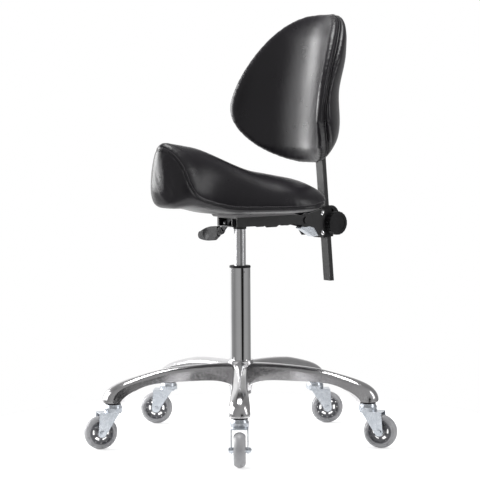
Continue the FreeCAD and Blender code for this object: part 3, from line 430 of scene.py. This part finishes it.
def vinylMaterial(name, look):
    # warped cells with raised edges for the grain, over soft creases; the gloss changes from patch to patch
    material, tree, shader, place = shaderNodes(name)
    cloud = noiseNode(tree, place, look["cloudScale"], 4.0, 0.55)
    tree.links.new(colourBetween(tree, cloud, look["dark"], look["light"]), shader.inputs["Base Color"])
    patch = noiseNode(tree, place, look["patchScale"], 3.0, 0.5)
    tree.links.new(rangeNode(tree, patch, look["smooth"], look["rough"]), shader.inputs["Roughness"])
    cells = tree.nodes.new("ShaderNodeTexVoronoi")
    cells.feature = "DISTANCE_TO_EDGE"
    cells.inputs["Scale"].default_value = look["grainScale"]
    warp = tree.nodes.new("ShaderNodeTexNoise")
    warp.inputs["Scale"].default_value = look["warpScale"]
    tree.links.new(place, warp.inputs["Vector"])
    bend = tree.nodes.new("ShaderNodeMix")
    bend.data_type = "VECTOR"
    bend.inputs["Factor"].default_value = look["warp"]
    tree.links.new(place, bend.inputs["A"])
    tree.links.new(warp.outputs["Color"], bend.inputs["B"])
    tree.links.new(bend.outputs["Result"], cells.inputs["Vector"])
    grain = rangeNode(tree, cells.outputs["Distance"], 0.0, 1.0, 0.0, look["grainEdge"])
    crease = noiseNode(tree, place, look["creaseScale"], 3.0, 0.55)
    first = bumpNode(tree, crease, look["creaseDepth"], look["creaseBump"])
    second = bumpNode(tree, grain, look["grainDepth"], look["grainBump"], first)
    tree.links.new(second, shader.inputs["Normal"])
    shader.inputs["Specular IOR Level"].default_value = look["specular"]
    shader.inputs["Sheen Weight"].default_value = look["sheen"]
    shader.inputs["Sheen Roughness"].default_value = look["sheenRough"]
    return material


tyreLook = {
    "dark": (0.40, 0.40, 0.42), "light": (0.50, 0.50, 0.515), "smooth": 0.24, "rough": 0.36,
    "cloudScale": 35.0, "grainScale": 260.0, "depth": 0.0003, "bump": 0.15,
    "subsurface": 0.35, "subsurfaceReach": 0.006, "transmission": 0.12,
}


def tyreMaterial(name, look):
    # smooth rubber that lets a little light in
    material, tree, shader, place = shaderNodes(name)
    cloud = noiseNode(tree, place, look["cloudScale"], 3.0, 0.5)
    fine = noiseNode(tree, place, look["grainScale"], 3.0, 0.6)
    tree.links.new(colourBetween(tree, cloud, look["dark"], look["light"]), shader.inputs["Base Color"])
    tree.links.new(rangeNode(tree, cloud, look["smooth"], look["rough"]), shader.inputs["Roughness"])
    tree.links.new(bumpNode(tree, fine, look["depth"], look["bump"]), shader.inputs["Normal"])
    shader.inputs["Subsurface Weight"].default_value = look["subsurface"]
    shader.inputs["Subsurface Radius"].default_value = (look["subsurfaceReach"],) * 3
    shader.inputs["Transmission Weight"].default_value = look["transmission"]
    return material


boardLook = {
    "dark": (0.11, 0.105, 0.11), "light": (0.19, 0.185, 0.19), "smooth": 0.5, "rough": 0.7,
    "grainScale": 60.0, "stretch": (1.0, 12.0, 40.0), "depth": 0.0005, "bump": 0.3,
}


def boardMaterial(name, look):
    # moulded board: long streaks along X in fine bands along Z
    material, tree, shader, place = shaderNodes(name)
    grain = noiseNode(tree, place, look["grainScale"], 6.0, 0.6, look["stretch"])
    tree.links.new(colourBetween(tree, grain, look["dark"], look["light"]), shader.inputs["Base Color"])
    tree.links.new(rangeNode(tree, grain, look["smooth"], look["rough"]), shader.inputs["Roughness"])
    tree.links.new(bumpNode(tree, grain, look["depth"], look["bump"]), shader.inputs["Normal"])
    return material


threadLook = {
    "dark": (0.13, 0.125, 0.135), "light": (0.20, 0.195, 0.205), "cloudScale": 300.0, "grainScale": 2500.0,
    "smooth": 0.55, "rough": 0.7, "depth": 0.0002, "bump": 0.5, "metallic": 0.0,
}
blackVinyl = vinylMaterial("blackVinyl", vinylLook)
blackThread = metalMaterial("blackThread", threadLook)
greyTyre = tyreMaterial("greyTyre", tyreLook)
boardGrey = boardMaterial("boardGrey", boardLook)

slotMaterials = {
    "polished_aluminium": polishedAluminium, "chrome": chrome, "zinc": zinc, "steel": steel,
    "cylinder_steel": cylinderSteel, "black_vinyl": blackVinyl, "black_steel": blackSteel,
    "black_plastic": blackPlastic, "grey_tyre": greyTyre, "grey_core": greyCore, "board": boardGrey,
}
for part in frame["record"]["subparts"]:
    node = nodes[part["node"]]
    material = slotMaterials[part["material_slot"]]
    if len(node.material_slots) == 0:
        node.data.materials.append(material)
    for held in node.material_slots:
        held.material = material
print("stage: materials")


# Seat cushion

seatForm = {
    "front": 0.243, "rear": 0.175, "halfWidth": 0.175, "noseHalf": 0.074, "tailRound": 0.100,
    "under": 0.550, "noseRise": 0.018, "noseChin": 0.030, "tailRise": 0.020,
    "crownRear": 0.622, "crownSlope": 0.17, "noseClimb": 0.033, "tailDrop": 0.024,
    "noseCap": 0.034, "tailCap": 0.042, "fullRear": 0.95, "fullNose": 1.10, "stations": 110, "around": 150,
    # each span is a start forward of the column and a reach
    "noseRiseSpan": (0.060, 0.130), "tailRiseSpan": (0.090, 0.080), "noseClimbSpan": (-0.015, 0.165),
    "tailDropSpan": (0.110, 0.075), "beltSpan": (0.090, 0.110), "fullSpan": (0.040, 0.120),
    "beltLift": 0.014, "beltNoseLift": 0.030, "nosePower": 2.4, "tailPower": 2.2, "noseCapPower": 3.2,
    "tailCapPower": 3.0, "underAcross": 0.50, "underClimb": 0.95, "chinShare": 0.98, "spreadMargin": 0.005,
    "endMargin": 0.009, "firstStation": 0.015,
}


def easedOver(s, span):
    # smooth step from the span's start over its reach
    start, reach = span
    return smoothStep((s - start) / reach)


def seatHalfWidth(s, f):
    # round nose by a superellipse, a smooth spread to the tail, round tail
    noseCentre = f["front"] - f["noseHalf"]
    tailCentre = -f["rear"] + f["tailRound"]
    spread = smoothStep((noseCentre - s) / (noseCentre - tailCentre - f["spreadMargin"]))
    half = f["noseHalf"] + (f["halfWidth"] - f["noseHalf"]) * spread
    nose = np.clip((s - noseCentre) / f["noseHalf"], 0, 1)
    half = np.where(s > noseCentre, f["noseHalf"] * np.sqrt(1 - nose ** f["nosePower"]), half)
    tail = np.clip((tailCentre - s) / f["tailRound"], 0, 1)
    flat = f["halfWidth"] - f["tailRound"]
    return np.where(s < tailCentre, flat + f["tailRound"] * np.sqrt(1 - tail ** f["tailPower"]), half)


def seatLevels(s, f):
    # heights of the underside, the widest line and the crown at a place forward of the column
    under = f["under"] + f["noseRise"] * easedOver(s, f["noseRiseSpan"])
    under = under + f["tailRise"] * easedOver(-s, f["tailRiseSpan"])
    crown = f["crownRear"] + f["crownSlope"] * (s + f["rear"])
    crown = crown + f["noseClimb"] * easedOver(s, f["noseClimbSpan"])
    crown = crown - f["tailDrop"] * easedOver(-s, f["tailDropSpan"])
    chin = np.clip((s - f["front"] + f["noseChin"]) / f["noseChin"], 0, 1)
    under = under + f["noseChin"] * (1 - np.sqrt(1 - chin ** 2 * f["chinShare"]))
    middle = under + f["beltLift"] + f["beltNoseLift"] * easedOver(s, f["beltSpan"])
    return under, middle, crown


def seatRings(f):
    # each ring is a superellipse above its widest line and a flatter one below
    # the ends close by caps of about the third power
    share = (1 - np.cos(np.linspace(f["firstStation"], 1, f["stations"] // 2) * math.pi / 2)) * 0.5
    share = np.concatenate([share, (1 - share)[::-1][1:]])
    length = f["front"] + f["rear"]
    s = f["front"] - share * length
    front = np.clip(1 - share * length / f["noseCap"], 0, 1)
    back = np.clip(1 - (1 - share) * length / f["tailCap"], 0, 1)
    nosePower, tailPower = f["noseCapPower"], f["tailCapPower"]
    cap = (1 - front ** nosePower) ** (1 / nosePower) * (1 - back ** tailPower) ** (1 / tailPower)
    place = np.clip(s, -f["rear"] + f["endMargin"], f["front"] - f["endMargin"])
    half = seatHalfWidth(place, f) * cap
    under, middle, crown = seatLevels(place, f)
    centre = (under + crown) / 2
    under, middle, crown = (centre + (v - centre) * cap for v in (under, middle, crown))
    turn = np.linspace(0, 2 * math.pi, f["around"], endpoint=False)
    cosine, sine = np.cos(turn), np.sin(turn)
    above = (sine >= 0)[None, :]
    fullness = (f["fullRear"] + (f["fullNose"] - f["fullRear"]) * easedOver(s, f["fullSpan"]))[:, None]
    acrossPower = np.where(above, fullness, f["underAcross"])
    climbPower = np.where(above, fullness, f["underClimb"])
    x = half[:, None] * np.sign(cosine) * np.abs(cosine) ** acrossPower
    reach = np.where(above, (crown - middle)[:, None], (middle - under)[:, None])
    z = middle[:, None] + reach * np.sign(sine) * np.abs(sine) ** climbPower
    y = np.broadcast_to(-s[:, None], x.shape)
    return np.stack([x, y, z], axis=-1)


seatVerts, seatFaces = cappedRings(seatRings(seatForm))
seatCushion = faceOutward(newPiece("seatCushion", seatVerts, seatFaces, blackVinyl))
seatSwell = {
    **clothLook, "voxel": 0.006, "pressure": 4.0, "cap": 0.024, "rounds": 40, "share": 0.12,
}
swollen(seatCushion, seatSwell)

# the seam in plan and height on the left flank: over the nose, down its side and low round to the tail
seatSeamKnots = [
    (0.000, 0.238, 0.706), (0.026, 0.233, 0.704), (0.048, 0.224, 0.692), (0.064, 0.212, 0.664),
    (0.074, 0.200, 0.624), (0.082, 0.178, 0.592), (0.092, 0.150, 0.574), (0.108, 0.110, 0.566),
    (0.132, 0.060, 0.564), (0.158, 0.000, 0.565), (0.174, -0.060, 0.567), (0.166, -0.110, 0.572),
    (0.130, -0.155, 0.580), (0.070, -0.174, 0.586), (0.000, -0.177, 0.587),
]


def mirroredLoop(knots):
    # left half from front to rear, then the right half back to the front
    left = np.array([(t, -s, z) for t, s, z in knots])
    right = left[1:-1][::-1] * np.array([-1.0, 1.0, 1.0])
    return np.vstack([left, right])


seamLook = {
    "points": 900, "groove": 0.0016, "grooveWidth": 0.0035, "reach": 0.045,
    # the ripples' waves get longer one after another, by these shares of the step
    "pucker": 0.0008, "puckerReach": 0.014, "puckerStart": 0.004, "puckerStep": 0.017,
    "waves": 5, "shortest": 0.55, "longer": 0.33,
}


def sewnInto(piece, path, look, seed):
    # a Gaussian groove along the seam, and fading ripples beside it whose spacing wanders
    mesh = piece.data
    co = readPoints(mesh)
    gap, where = distanceToPath(co, path)
    near = gap < look["reach"]
    along = np.concatenate([[0], np.cumsum(np.linalg.norm(np.diff(path, axis=0), axis=1))])[where]
    rng = np.random.default_rng(seed)
    phase = rng.uniform(0, 2 * math.pi, look["waves"])
    weight = rng.uniform(0.4, 1.0, look["waves"])
    ripple = np.zeros(len(co))
    for k in range(look["waves"]):
        step = look["puckerStep"] * (look["shortest"] + look["longer"] * k)
        ripple += weight[k] * np.sin(along / step * 2 * math.pi + phase[k])
    ripple /= weight.sum()
    depth = -look["groove"] * np.exp(-(gap / look["grooveWidth"]) ** 2)
    fade = np.exp(-gap / look["puckerReach"]) * np.clip(gap / look["puckerStart"], 0, 1)
    depth += look["pucker"] * ripple * fade
    depth[~near] = 0
    writePoints(mesh, co + readNormals(mesh) * depth[:, None])


seatSeamRough = splineThrough(mirroredLoop(seatSeamKnots), seamLook["points"], closed=True)
seatSeam, _ = laidOn(surfaceOf(seatCushion), seatSeamRough)
seatSeam = splineThrough(seatSeam[::6], seamLook["points"], closed=True)
sewnInto(seatCushion, seatSeam, seamLook, 4)


foldLook = {"samples": 60, "fadePower": 0.7, "dip": 0.55, "dipPlace": 1.7}


def foldInto(piece, folds, look):
    # each fold is a line on the surface: a Gaussian ridge with a shallower dip beside it, and fading ends
    mesh = piece.data
    co = readPoints(mesh)
    normals = readNormals(mesh)
    move = np.zeros(len(co))
    for knots, height, width in folds:
        gap, where = distanceToPath(co, splineThrough(knots, look["samples"]))
        fade = np.sin(np.clip(where / (look["samples"] - 1.0), 0, 1) * math.pi) ** look["fadePower"]
        dip = look["dip"] * np.exp(-((gap - look["dipPlace"] * width) / width) ** 2)
        move += height * fade * (np.exp(-(gap / width) ** 2) - dip)
    writePoints(mesh, co + normals * move[:, None])


seatFolds = [
    # knots, height and width
    ([(-0.014, -0.243, 0.662), (-0.004, -0.243, 0.630), (0.012, -0.240, 0.602), (0.030, -0.230, 0.582)],
     0.0007, 0.006),
    ([(0.030, -0.238, 0.640), (0.040, -0.232, 0.615), (0.054, -0.219, 0.592)], 0.0004, 0.005),
]
foldInto(seatCushion, seatFolds, foldLook)
seatCushion.data.shade_smooth()


stitchLook = {
    "step": 0.0050, "length": 0.0034, "thick": 0.0012, "offset": 0.0, "sunk": 0.25, "sides": 6,
    # places of a stitch's rings along it, and their widths
    "rings": (-0.5, -0.36, 0.0, 0.36, 0.5), "widths": (0.25, 0.85, 1.0, 0.85, 0.25),
}


def stitchRow(name, tree, path, normals, body, look):
    # capsules laid end to end with gaps, to one side of the seam; each is an ellipsoid of rings
    step, sides = look["step"], look["sides"]
    tangent, _, _ = pathFrames(path)
    side = np.cross(normals, tangent)
    side /= np.linalg.norm(side, axis=1)[:, None] + 1e-12
    run = np.concatenate([[0], np.cumsum(np.linalg.norm(np.diff(path, axis=0), axis=1))])
    places = np.arange(0, run[-1] - step, step)
    line = path + side * look["offset"]
    centre = np.stack([np.interp(places, run, line[:, k]) for k in range(3)], axis=1)
    along = np.stack([np.interp(places, run, tangent[:, k]) for k in range(3)], axis=1)
    along /= np.linalg.norm(along, axis=1)[:, None]
    centre, normal = laidOn(tree, centre, look["thick"] * look["sunk"])
    across = np.cross(normal, along)
    across /= np.linalg.norm(across, axis=1)[:, None]
    lift = np.cross(along, across)
    rings = np.array(look["rings"])
    width = np.array(look["widths"]) * look["thick"] / 2
    turn = np.linspace(0, 2 * math.pi, sides, endpoint=False)
    local = np.stack([
        np.repeat(rings * look["length"], sides),
        (width[:, None] * np.cos(turn)[None, :]).ravel(),
        (width[:, None] * np.sin(turn)[None, :]).ravel(),
    ], axis=1)
    basis = np.stack([along, across, lift], axis=1)
    verts = centre[:, None, :] + np.einsum("vk,nkj->nvj", local, basis)
    single = ringFaces(len(rings), sides)
    single.append(list(range(sides - 1, -1, -1)))
    single.append([(len(rings) - 1) * sides + i for i in range(sides)])
    faces = [[n * len(local) + i for i in face] for n in range(len(places)) for face in single]
    piece = newPiece(name, verts.reshape(-1, 3), faces, blackThread)
    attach(piece, body)
    return piece


seatTree = surfaceOf(seatCushion)
seatSeamLaid, seatSeamNormals = laidOn(seatTree, seatSeam)
seatWeltLook = {"radius": 0.0009, "sides": 8, "lift": 0.0002}
seatWeltLine = seatSeamLaid + seatSeamNormals * seatWeltLook["lift"]
seatWelt = tubeAlong("seatWelt", seatWeltLine, seatWeltLook, blackVinyl)
stitchRow("seatStitches", seatTree, seatSeamLaid, seatSeamNormals, "seat", {**stitchLook, "offset": 0.0042})
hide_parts("seat_pad")
for piece in (seatCushion, seatWelt):
    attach(piece, "seat")
print("stage: seat cushion")


# Backrest cushions

backForm = {
    "low": 0.661, "high": 1.027, "widest": 0.802, "halfWidth": 0.187, "inset": 0.010, "wrap": 3.7,
    "centreLow": 0.221, "centreHigh": 0.262, "topLean": 0.009, "front": 0.031, "rear": 0.020,
    "waistZ": 0.832, "waistReach": 0.095, "waistDepth": 0.0105, "levels": 120, "across": 70, "roll": 16,
    "upperPower": 1.5, "upperRoot": 2.8, "rearLeast": 0.25, "rearReach": 0.070, "endMargin": 0.0012,
    "insetFade": 0.04, "leastHalf": 0.004, "thinGain": 1.3, "thinLeast": 0.006, "thinPower": 0.75,
    "crownDrop": 0.16, "rollHeight": 0.84, "rollOut": 0.42, "seamGap": 0.00015,
}


def backHalfWidth(z, f):
    # egg: quarter ellipse below its widest height, a flatter superellipse above
    low = np.clip((f["widest"] - z) / (f["widest"] - f["low"]), 0, 1)
    high = np.clip((z - f["widest"]) / (f["high"] - f["widest"]), 0, 1)
    upper = (1 - high ** f["upperPower"]) ** (1 / f["upperRoot"])
    return f["halfWidth"] * np.where(z < f["widest"], np.sqrt(1 - low ** 2), upper)


def backCentre(z, f):
    # the seam circle's furthest point: a straight lean, and a smooth extra one above the waist
    share = (z - f["low"]) / (f["high"] - f["low"])
    top = f["topLean"] * smoothStep((z - f["waistZ"]) / (f["high"] - f["waistZ"]))
    return f["centreLow"] + (f["centreHigh"] - f["centreLow"]) * share + top


def rearThickness(z, f):
    # even, less a smooth hollow at the waist, and thinner towards the lower edge
    waist = f["waistDepth"] * smoothStep(1 - np.abs(z - f["waistZ"]) / f["waistReach"])
    foot = easedOver(z, (f["low"], f["rearReach"]))
    return (f["rear"] - waist) * (f["rearLeast"] + (1 - f["rearLeast"]) * foot)


def backRings(f, thickness, front):
    # level rings on the seam's circle: a face at the thickness, crowned in the middle, and rolled ends
    share = (1 - np.cos(np.linspace(0.0, 1, f["levels"]) * math.pi)) * 0.5
    z = f["low"] + f["endMargin"] + (f["high"] - f["low"] - 2 * f["endMargin"]) * share
    whole = backHalfWidth(z, f)
    half = np.maximum(whole - f["inset"] * np.clip(whole / f["insetFade"], 0, 1), f["leastHalf"])
    depth = f["wrap"] * half ** 2
    radius = (half ** 2 + depth ** 2) / (2 * depth)
    angle = np.arcsin(np.clip(half / radius, 0, 1))
    thin = f["thinGain"] * (np.maximum(whole, f["thinLeast"]) / f["halfWidth"]) ** f["thinPower"]
    thick = thickness(z) * np.minimum(1.0, thin)
    sign = -1.0 if front else 1.0
    a = np.linspace(-1, 1, f["across"])
    crown = 1 - f["crownDrop"] * np.abs(a) ** 3
    roll = np.linspace(0, math.pi, f["roll"] + 2)[1:-1]
    # outer face, end roll, seam face, end roll: as (share of the angle, offset share, way out share)
    shareAngle = np.concatenate([a, np.ones(f["roll"]), a[::-1], -np.ones(f["roll"])])
    falling = f["rollHeight"] * (0.5 + 0.5 * np.cos(roll))
    rising = f["rollHeight"] * (0.5 - 0.5 * np.cos(roll))
    offset = np.concatenate([crown, falling, np.zeros(f["across"]), rising])
    out = np.concatenate([np.zeros(f["across"]), np.sin(roll), np.zeros(f["across"]), np.sin(roll)])
    turn = shareAngle[None, :] * angle[:, None]
    off = offset[None, :] * thick[:, None] * sign + sign * f["seamGap"]
    away = out[None, :] * (f["rollOut"] * thick)[:, None] * np.sign(shareAngle)[None, :]
    reach = radius[:, None] + off
    x = reach * np.sin(turn) + away * np.cos(turn)
    y = backCentre(z, f)[:, None] - radius[:, None] + reach * np.cos(turn) - away * np.sin(turn)
    return np.stack([x, y, np.broadcast_to(z[:, None], x.shape)], axis=-1)


def frontThickness(z):
    # the same at every height
    return np.full_like(z, backForm["front"])


frontVerts, frontFaces = cappedRings(backRings(backForm, frontThickness, True))
backCushion = faceOutward(newPiece("backCushion", frontVerts, frontFaces, blackVinyl))
frontSwell = {
    **clothLook, "voxel": 0.006, "pressure": 4.0, "cap": 0.024, "rounds": 40, "share": 0.10,
}
swollen(backCushion, frontSwell)

rearVerts, rearFaces = cappedRings(backRings(backForm, lambda z: rearThickness(z, backForm), False))
backShell = faceOutward(newPiece("backShell", rearVerts, rearFaces, blackVinyl))
rearSwell = {
    **clothLook, "voxel": 0.005, "pressure": 3.0, "cap": 0.022, "frames": 12, "rounds": 30, "share": 0.10,
}
swollen(backShell, rearSwell)


backSeamLook = {
    "out": 0.006, "stitchOut": 0.010, "stitchShift": (0.0, -0.005, 0.0), "ends": (0.06, 0.94), "levels": 60,
    "tipLift": 0.001, "groove": 0.0009,
}


def backSeamLoop(f, out, look):
    # both ends of the seam arc, up the left side and down the right one
    share = (1 - np.cos(np.linspace(*look["ends"], look["levels"]) * math.pi)) * 0.5
    z = f["low"] + (f["high"] - f["low"]) * share
    half = backHalfWidth(z, f) - f["inset"]
    depth = f["wrap"] * half ** 2
    radius = (half ** 2 + depth ** 2) / (2 * depth)
    angle = np.arcsin(np.clip(half / radius, 0, 1))
    x = half + out * np.cos(angle)
    y = backCentre(z, f) - depth - out * np.sin(angle)
    left = np.stack([x, y, z], axis=1)
    tipHigh = np.array([[0.0, backCentre(f["high"], f), f["high"] + look["tipLift"]]])
    tipLow = np.array([[0.0, backCentre(f["low"], f), f["low"] - look["tipLift"]]])
    loop = np.vstack([left, tipHigh, left[::-1] * np.array([-1.0, 1.0, 1.0]), tipLow])
    return splineThrough(loop, seamLook["points"], closed=True)


backSeam = backSeamLoop(backForm, backSeamLook["out"], backSeamLook)
backStitchRough = backSeamLoop(backForm, backSeamLook["stitchOut"], backSeamLook)
backStitchRough = backStitchRough + np.array(backSeamLook["stitchShift"])
backStitchLine, backStitchNormals = laidOn(surfaceOf(backCushion), backStitchRough)
sewnInto(backCushion, backStitchLine, {**seamLook, "groove": backSeamLook["groove"]}, 8)
onCushion, _ = laidOn(surfaceOf(backCushion), backSeam)
onShell, _ = laidOn(surfaceOf(backShell), backSeam)
backWeltLine = splineThrough(((onCushion + onShell) / 2)[::5], seamLook["points"], closed=True)
backWelt = tubeAlong("backWelt", backWeltLine, {"radius": 0.0016, "sides": 8}, blackVinyl)
backTree = surfaceOf(backCushion)
backStitchLook = {**stitchLook, "thick": 0.0010}
stitchRow("backStitches", backTree, backStitchLine, backStitchNormals, "backrest", backStitchLook)
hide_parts("back_pad")
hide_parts("back_cover")
for piece in (backCushion, backShell, backWelt):
    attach(piece, "backrest")
print("stage: backrest")


# Floor, light and camera

def seenRay(tree):
    # 1 for camera, mirror and transmission rays, 0 for the rays that light surfaces
    path = tree.nodes.new("ShaderNodeLightPath")
    total = path.outputs["Is Camera Ray"]
    for kind in ("Is Glossy Ray", "Is Transmission Ray"):
        either = tree.nodes.new("ShaderNodeMath")
        either.operation = "ADD"
        either.use_clamp = True
        tree.links.new(total, either.inputs[0])
        tree.links.new(path.outputs[kind], either.inputs[1])
        total = either.outputs[0]
    return total


def floorMaterial(name, look):
    # rays that see the floor get some light of its own, so that it fades into the white backdrop
    material, tree, shader, place = shaderNodes(name)
    shader.inputs["Base Color"].default_value = (*look["floorColour"], 1)
    cloud = noiseNode(tree, place, look["floorCloud"])
    tree.links.new(rangeNode(tree, cloud, *look["floorRough"]), shader.inputs["Roughness"])
    shader.inputs["Specular IOR Level"].default_value = look["floorSpecular"]
    amount = rangeNode(tree, seenRay(tree), 0.0, look["floorGlow"], 0.0, 1.0)
    shader.inputs["Emission Color"].default_value = (1, 1, 1, 1)
    tree.links.new(amount, shader.inputs["Emission Strength"])
    return material


studio = {
    # degrees, then metres, then millimetres for the lens
    "azimuth": 52.0, "pitch": 4.2953, "roll": 0.3415, "distance": 4.700, "height": 0.836,
    "shiftRight": 0.0003, "lens": 147.64,
    "skyStrength": 0.45, "floorColour": (0.80, 0.80, 0.80), "floorGlow": 0.55, "floorRadius": 0.72,
    "floorSides": 96, "floorCloud": 3.0, "floorRough": (0.75, 0.85), "floorSpecular": 0.1,
    # the card's middle stands this many degrees to the right of the camera
    "cardRadius": 5.6, "cardReach": 142.0, "cardTurn": 23.5,
    "cardRings": 60, "cardSides": 72, "cardStart": 0.002,
    # its brightness by degrees away from its middle
    "shades": [
        (0.0, 0.012), (9.5, 0.012), (14.0, 0.26), (30.0, 0.34), (60.0, 0.32), (90.0, 0.22), (120.0, 0.28),
        (142.0, 0.55),
    ],
    # name, place (right of the photograph, towards its camera, up), height faced, size, watts
    "lamps": [
        ("topLight", (0.0, -0.3, 3.0), 0.5, (1.2, 1.2), 34),
        ("leftLight", (-2.6, 0.5, 1.3), 0.6, (1.2, 2.2), 20),
        ("bandLight", (-2.75, -1.15, 1.2), 0.8, (1.3, 2.0), 85),
        ("rightLight", (2.6, 0.9, 1.4), 0.6, (0.7, 2.2), 16),
    ],
}
azimuth, pitch, roll = (math.radians(studio[angle]) for angle in ("azimuth", "pitch", "roll"))
right = Vector((math.cos(azimuth), math.sin(azimuth), 0))
ahead = Vector((-math.sin(azimuth) * math.cos(pitch), math.cos(azimuth) * math.cos(pitch), -math.sin(pitch)))
above = right.cross(ahead)
rolledRight = right * math.cos(roll) - above * math.sin(roll)
rolledUp = above * math.cos(roll) + right * math.sin(roll)
cameraData = bpy.data.cameras.new("photoCamera")
cameraData.lens = studio["lens"]
cameraData.sensor_width = 36.0
cameraData.clip_start = 0.05
cameraData.clip_end = 60.0
camera = bpy.data.objects.new("photoCamera", cameraData)
scene.collection.objects.link(camera)
turn = Matrix((rolledRight, rolledUp, -ahead)).transposed()
toCamera = Vector((math.sin(azimuth), -math.cos(azimuth), 0))
away = studio["distance"]
place = Vector((away * math.sin(azimuth), -away * math.cos(azimuth), studio["height"]))
place = place + right * studio["shiftRight"]
camera.matrix_world = Matrix.Translation(place) @ turn.to_4x4()
scene.camera = camera


def lightWorld(name, look):
    # white wherever it is seen, and weaker where it lights surfaces
    world = bpy.data.worlds.new(name)
    world.use_nodes = True
    tree = world.node_tree
    sky = tree.nodes["Background"]
    sky.inputs["Color"].default_value = (1, 1, 1, 1)
    strength = rangeNode(tree, seenRay(tree), look["skyStrength"], 1.0, 0.0, 1.0)
    tree.links.new(strength, sky.inputs["Strength"])
    return world


scene.world = lightWorld("paleRoom", studio)


def cardMaterial(name, look):
    # plain light by the distance from the card's middle, read from its UV
    material = bpy.data.materials.new(name)
    material.use_nodes = True
    tree = material.node_tree
    tree.nodes.remove(tree.nodes["Principled BSDF"])
    coords = tree.nodes.new("ShaderNodeTexCoord")
    apart = tree.nodes.new("ShaderNodeSeparateXYZ")
    tree.links.new(coords.outputs["UV"], apart.inputs[0])
    ramp = tree.nodes.new("ShaderNodeValToRGB")
    stops = ramp.color_ramp.elements
    shades = [(angle / look["cardReach"], value) for angle, value in look["shades"]]
    for stop, (position, value) in zip(stops, (shades[0], shades[-1])):
        stop.position = position
        stop.color = (value, value, value, 1)
    for position, value in shades[1:-1]:
        stops.new(position).color = (value, value, value, 1)
    tree.links.new(apart.outputs["X"], ramp.inputs["Fac"])
    glow = tree.nodes.new("ShaderNodeEmission")
    tree.links.new(ramp.outputs["Color"], glow.inputs["Color"])
    tree.links.new(glow.outputs["Emission"], tree.nodes["Material Output"].inputs["Surface"])
    return material


def darkCard(name, look):
    # part of a sphere round the camera's side, seen only in reflections
    rows, columns = look["cardRings"], look["cardSides"]
    share = np.linspace(look["cardStart"], 1, rows)
    angle = np.radians(look["cardReach"]) * share
    turn = np.linspace(0, 2 * math.pi, columns, endpoint=False)
    middle = azimuth + math.radians(look["cardTurn"])
    out = np.array([math.sin(middle), -math.cos(middle), 0.0])
    aside = np.array([math.cos(middle), math.sin(middle), 0.0])
    across = np.cos(turn)[:, None] * aside + np.sin(turn)[:, None] * np.array([0.0, 0.0, 1.0])
    points = np.cos(angle)[:, None, None] * out + np.sin(angle)[:, None, None] * across[None, :, :]
    points = look["cardRadius"] * points.reshape(-1, 3)
    card = newPiece(name, points, ringFaces(rows, columns), cardMaterial(name, look))
    layer = card.data.uv_layers.new(name="away")
    corner = np.empty(len(card.data.loops), int)
    card.data.loops.foreach_get("vertex_index", corner)
    away = share[corner // columns]
    layer.data.foreach_set("uv", np.stack([away, 0 * away], axis=1).ravel())
    card.visible_camera = False
    card.visible_diffuse = False
    card.visible_shadow = False
    card.visible_transmission = False
    return card


darkCard("darkCard", studio)
turnRound = np.linspace(0, 2 * math.pi, studio["floorSides"], endpoint=False)
floorRing = studio["floorRadius"] * np.stack([np.cos(turnRound), np.sin(turnRound), 0 * turnRound], axis=1)
floor = newPiece("floor", floorRing, [range(studio["floorSides"])], floorMaterial("floorPale", studio))


def areaLight(name, place, facing, size, power):
    # place in the photograph's own directions; the lamp faces the column at a height
    across, towardCamera, up = place
    stand = right * across + toCamera * towardCamera + Vector((0, 0, up))
    data = bpy.data.lights.new(name, "AREA")
    data.shape = "RECTANGLE"
    data.size, data.size_y = size
    data.energy = power
    lamp = bpy.data.objects.new(name, data)
    scene.collection.objects.link(lamp)
    lamp.location = stand
    lamp.rotation_mode = "QUATERNION"
    lamp.rotation_quaternion = (Vector((0, 0, facing)) - stand).to_track_quat("-Z", "Y")


for lampValues in studio["lamps"]:
    areaLight(*lampValues)
print("stage: studio")

print("stage: finished")
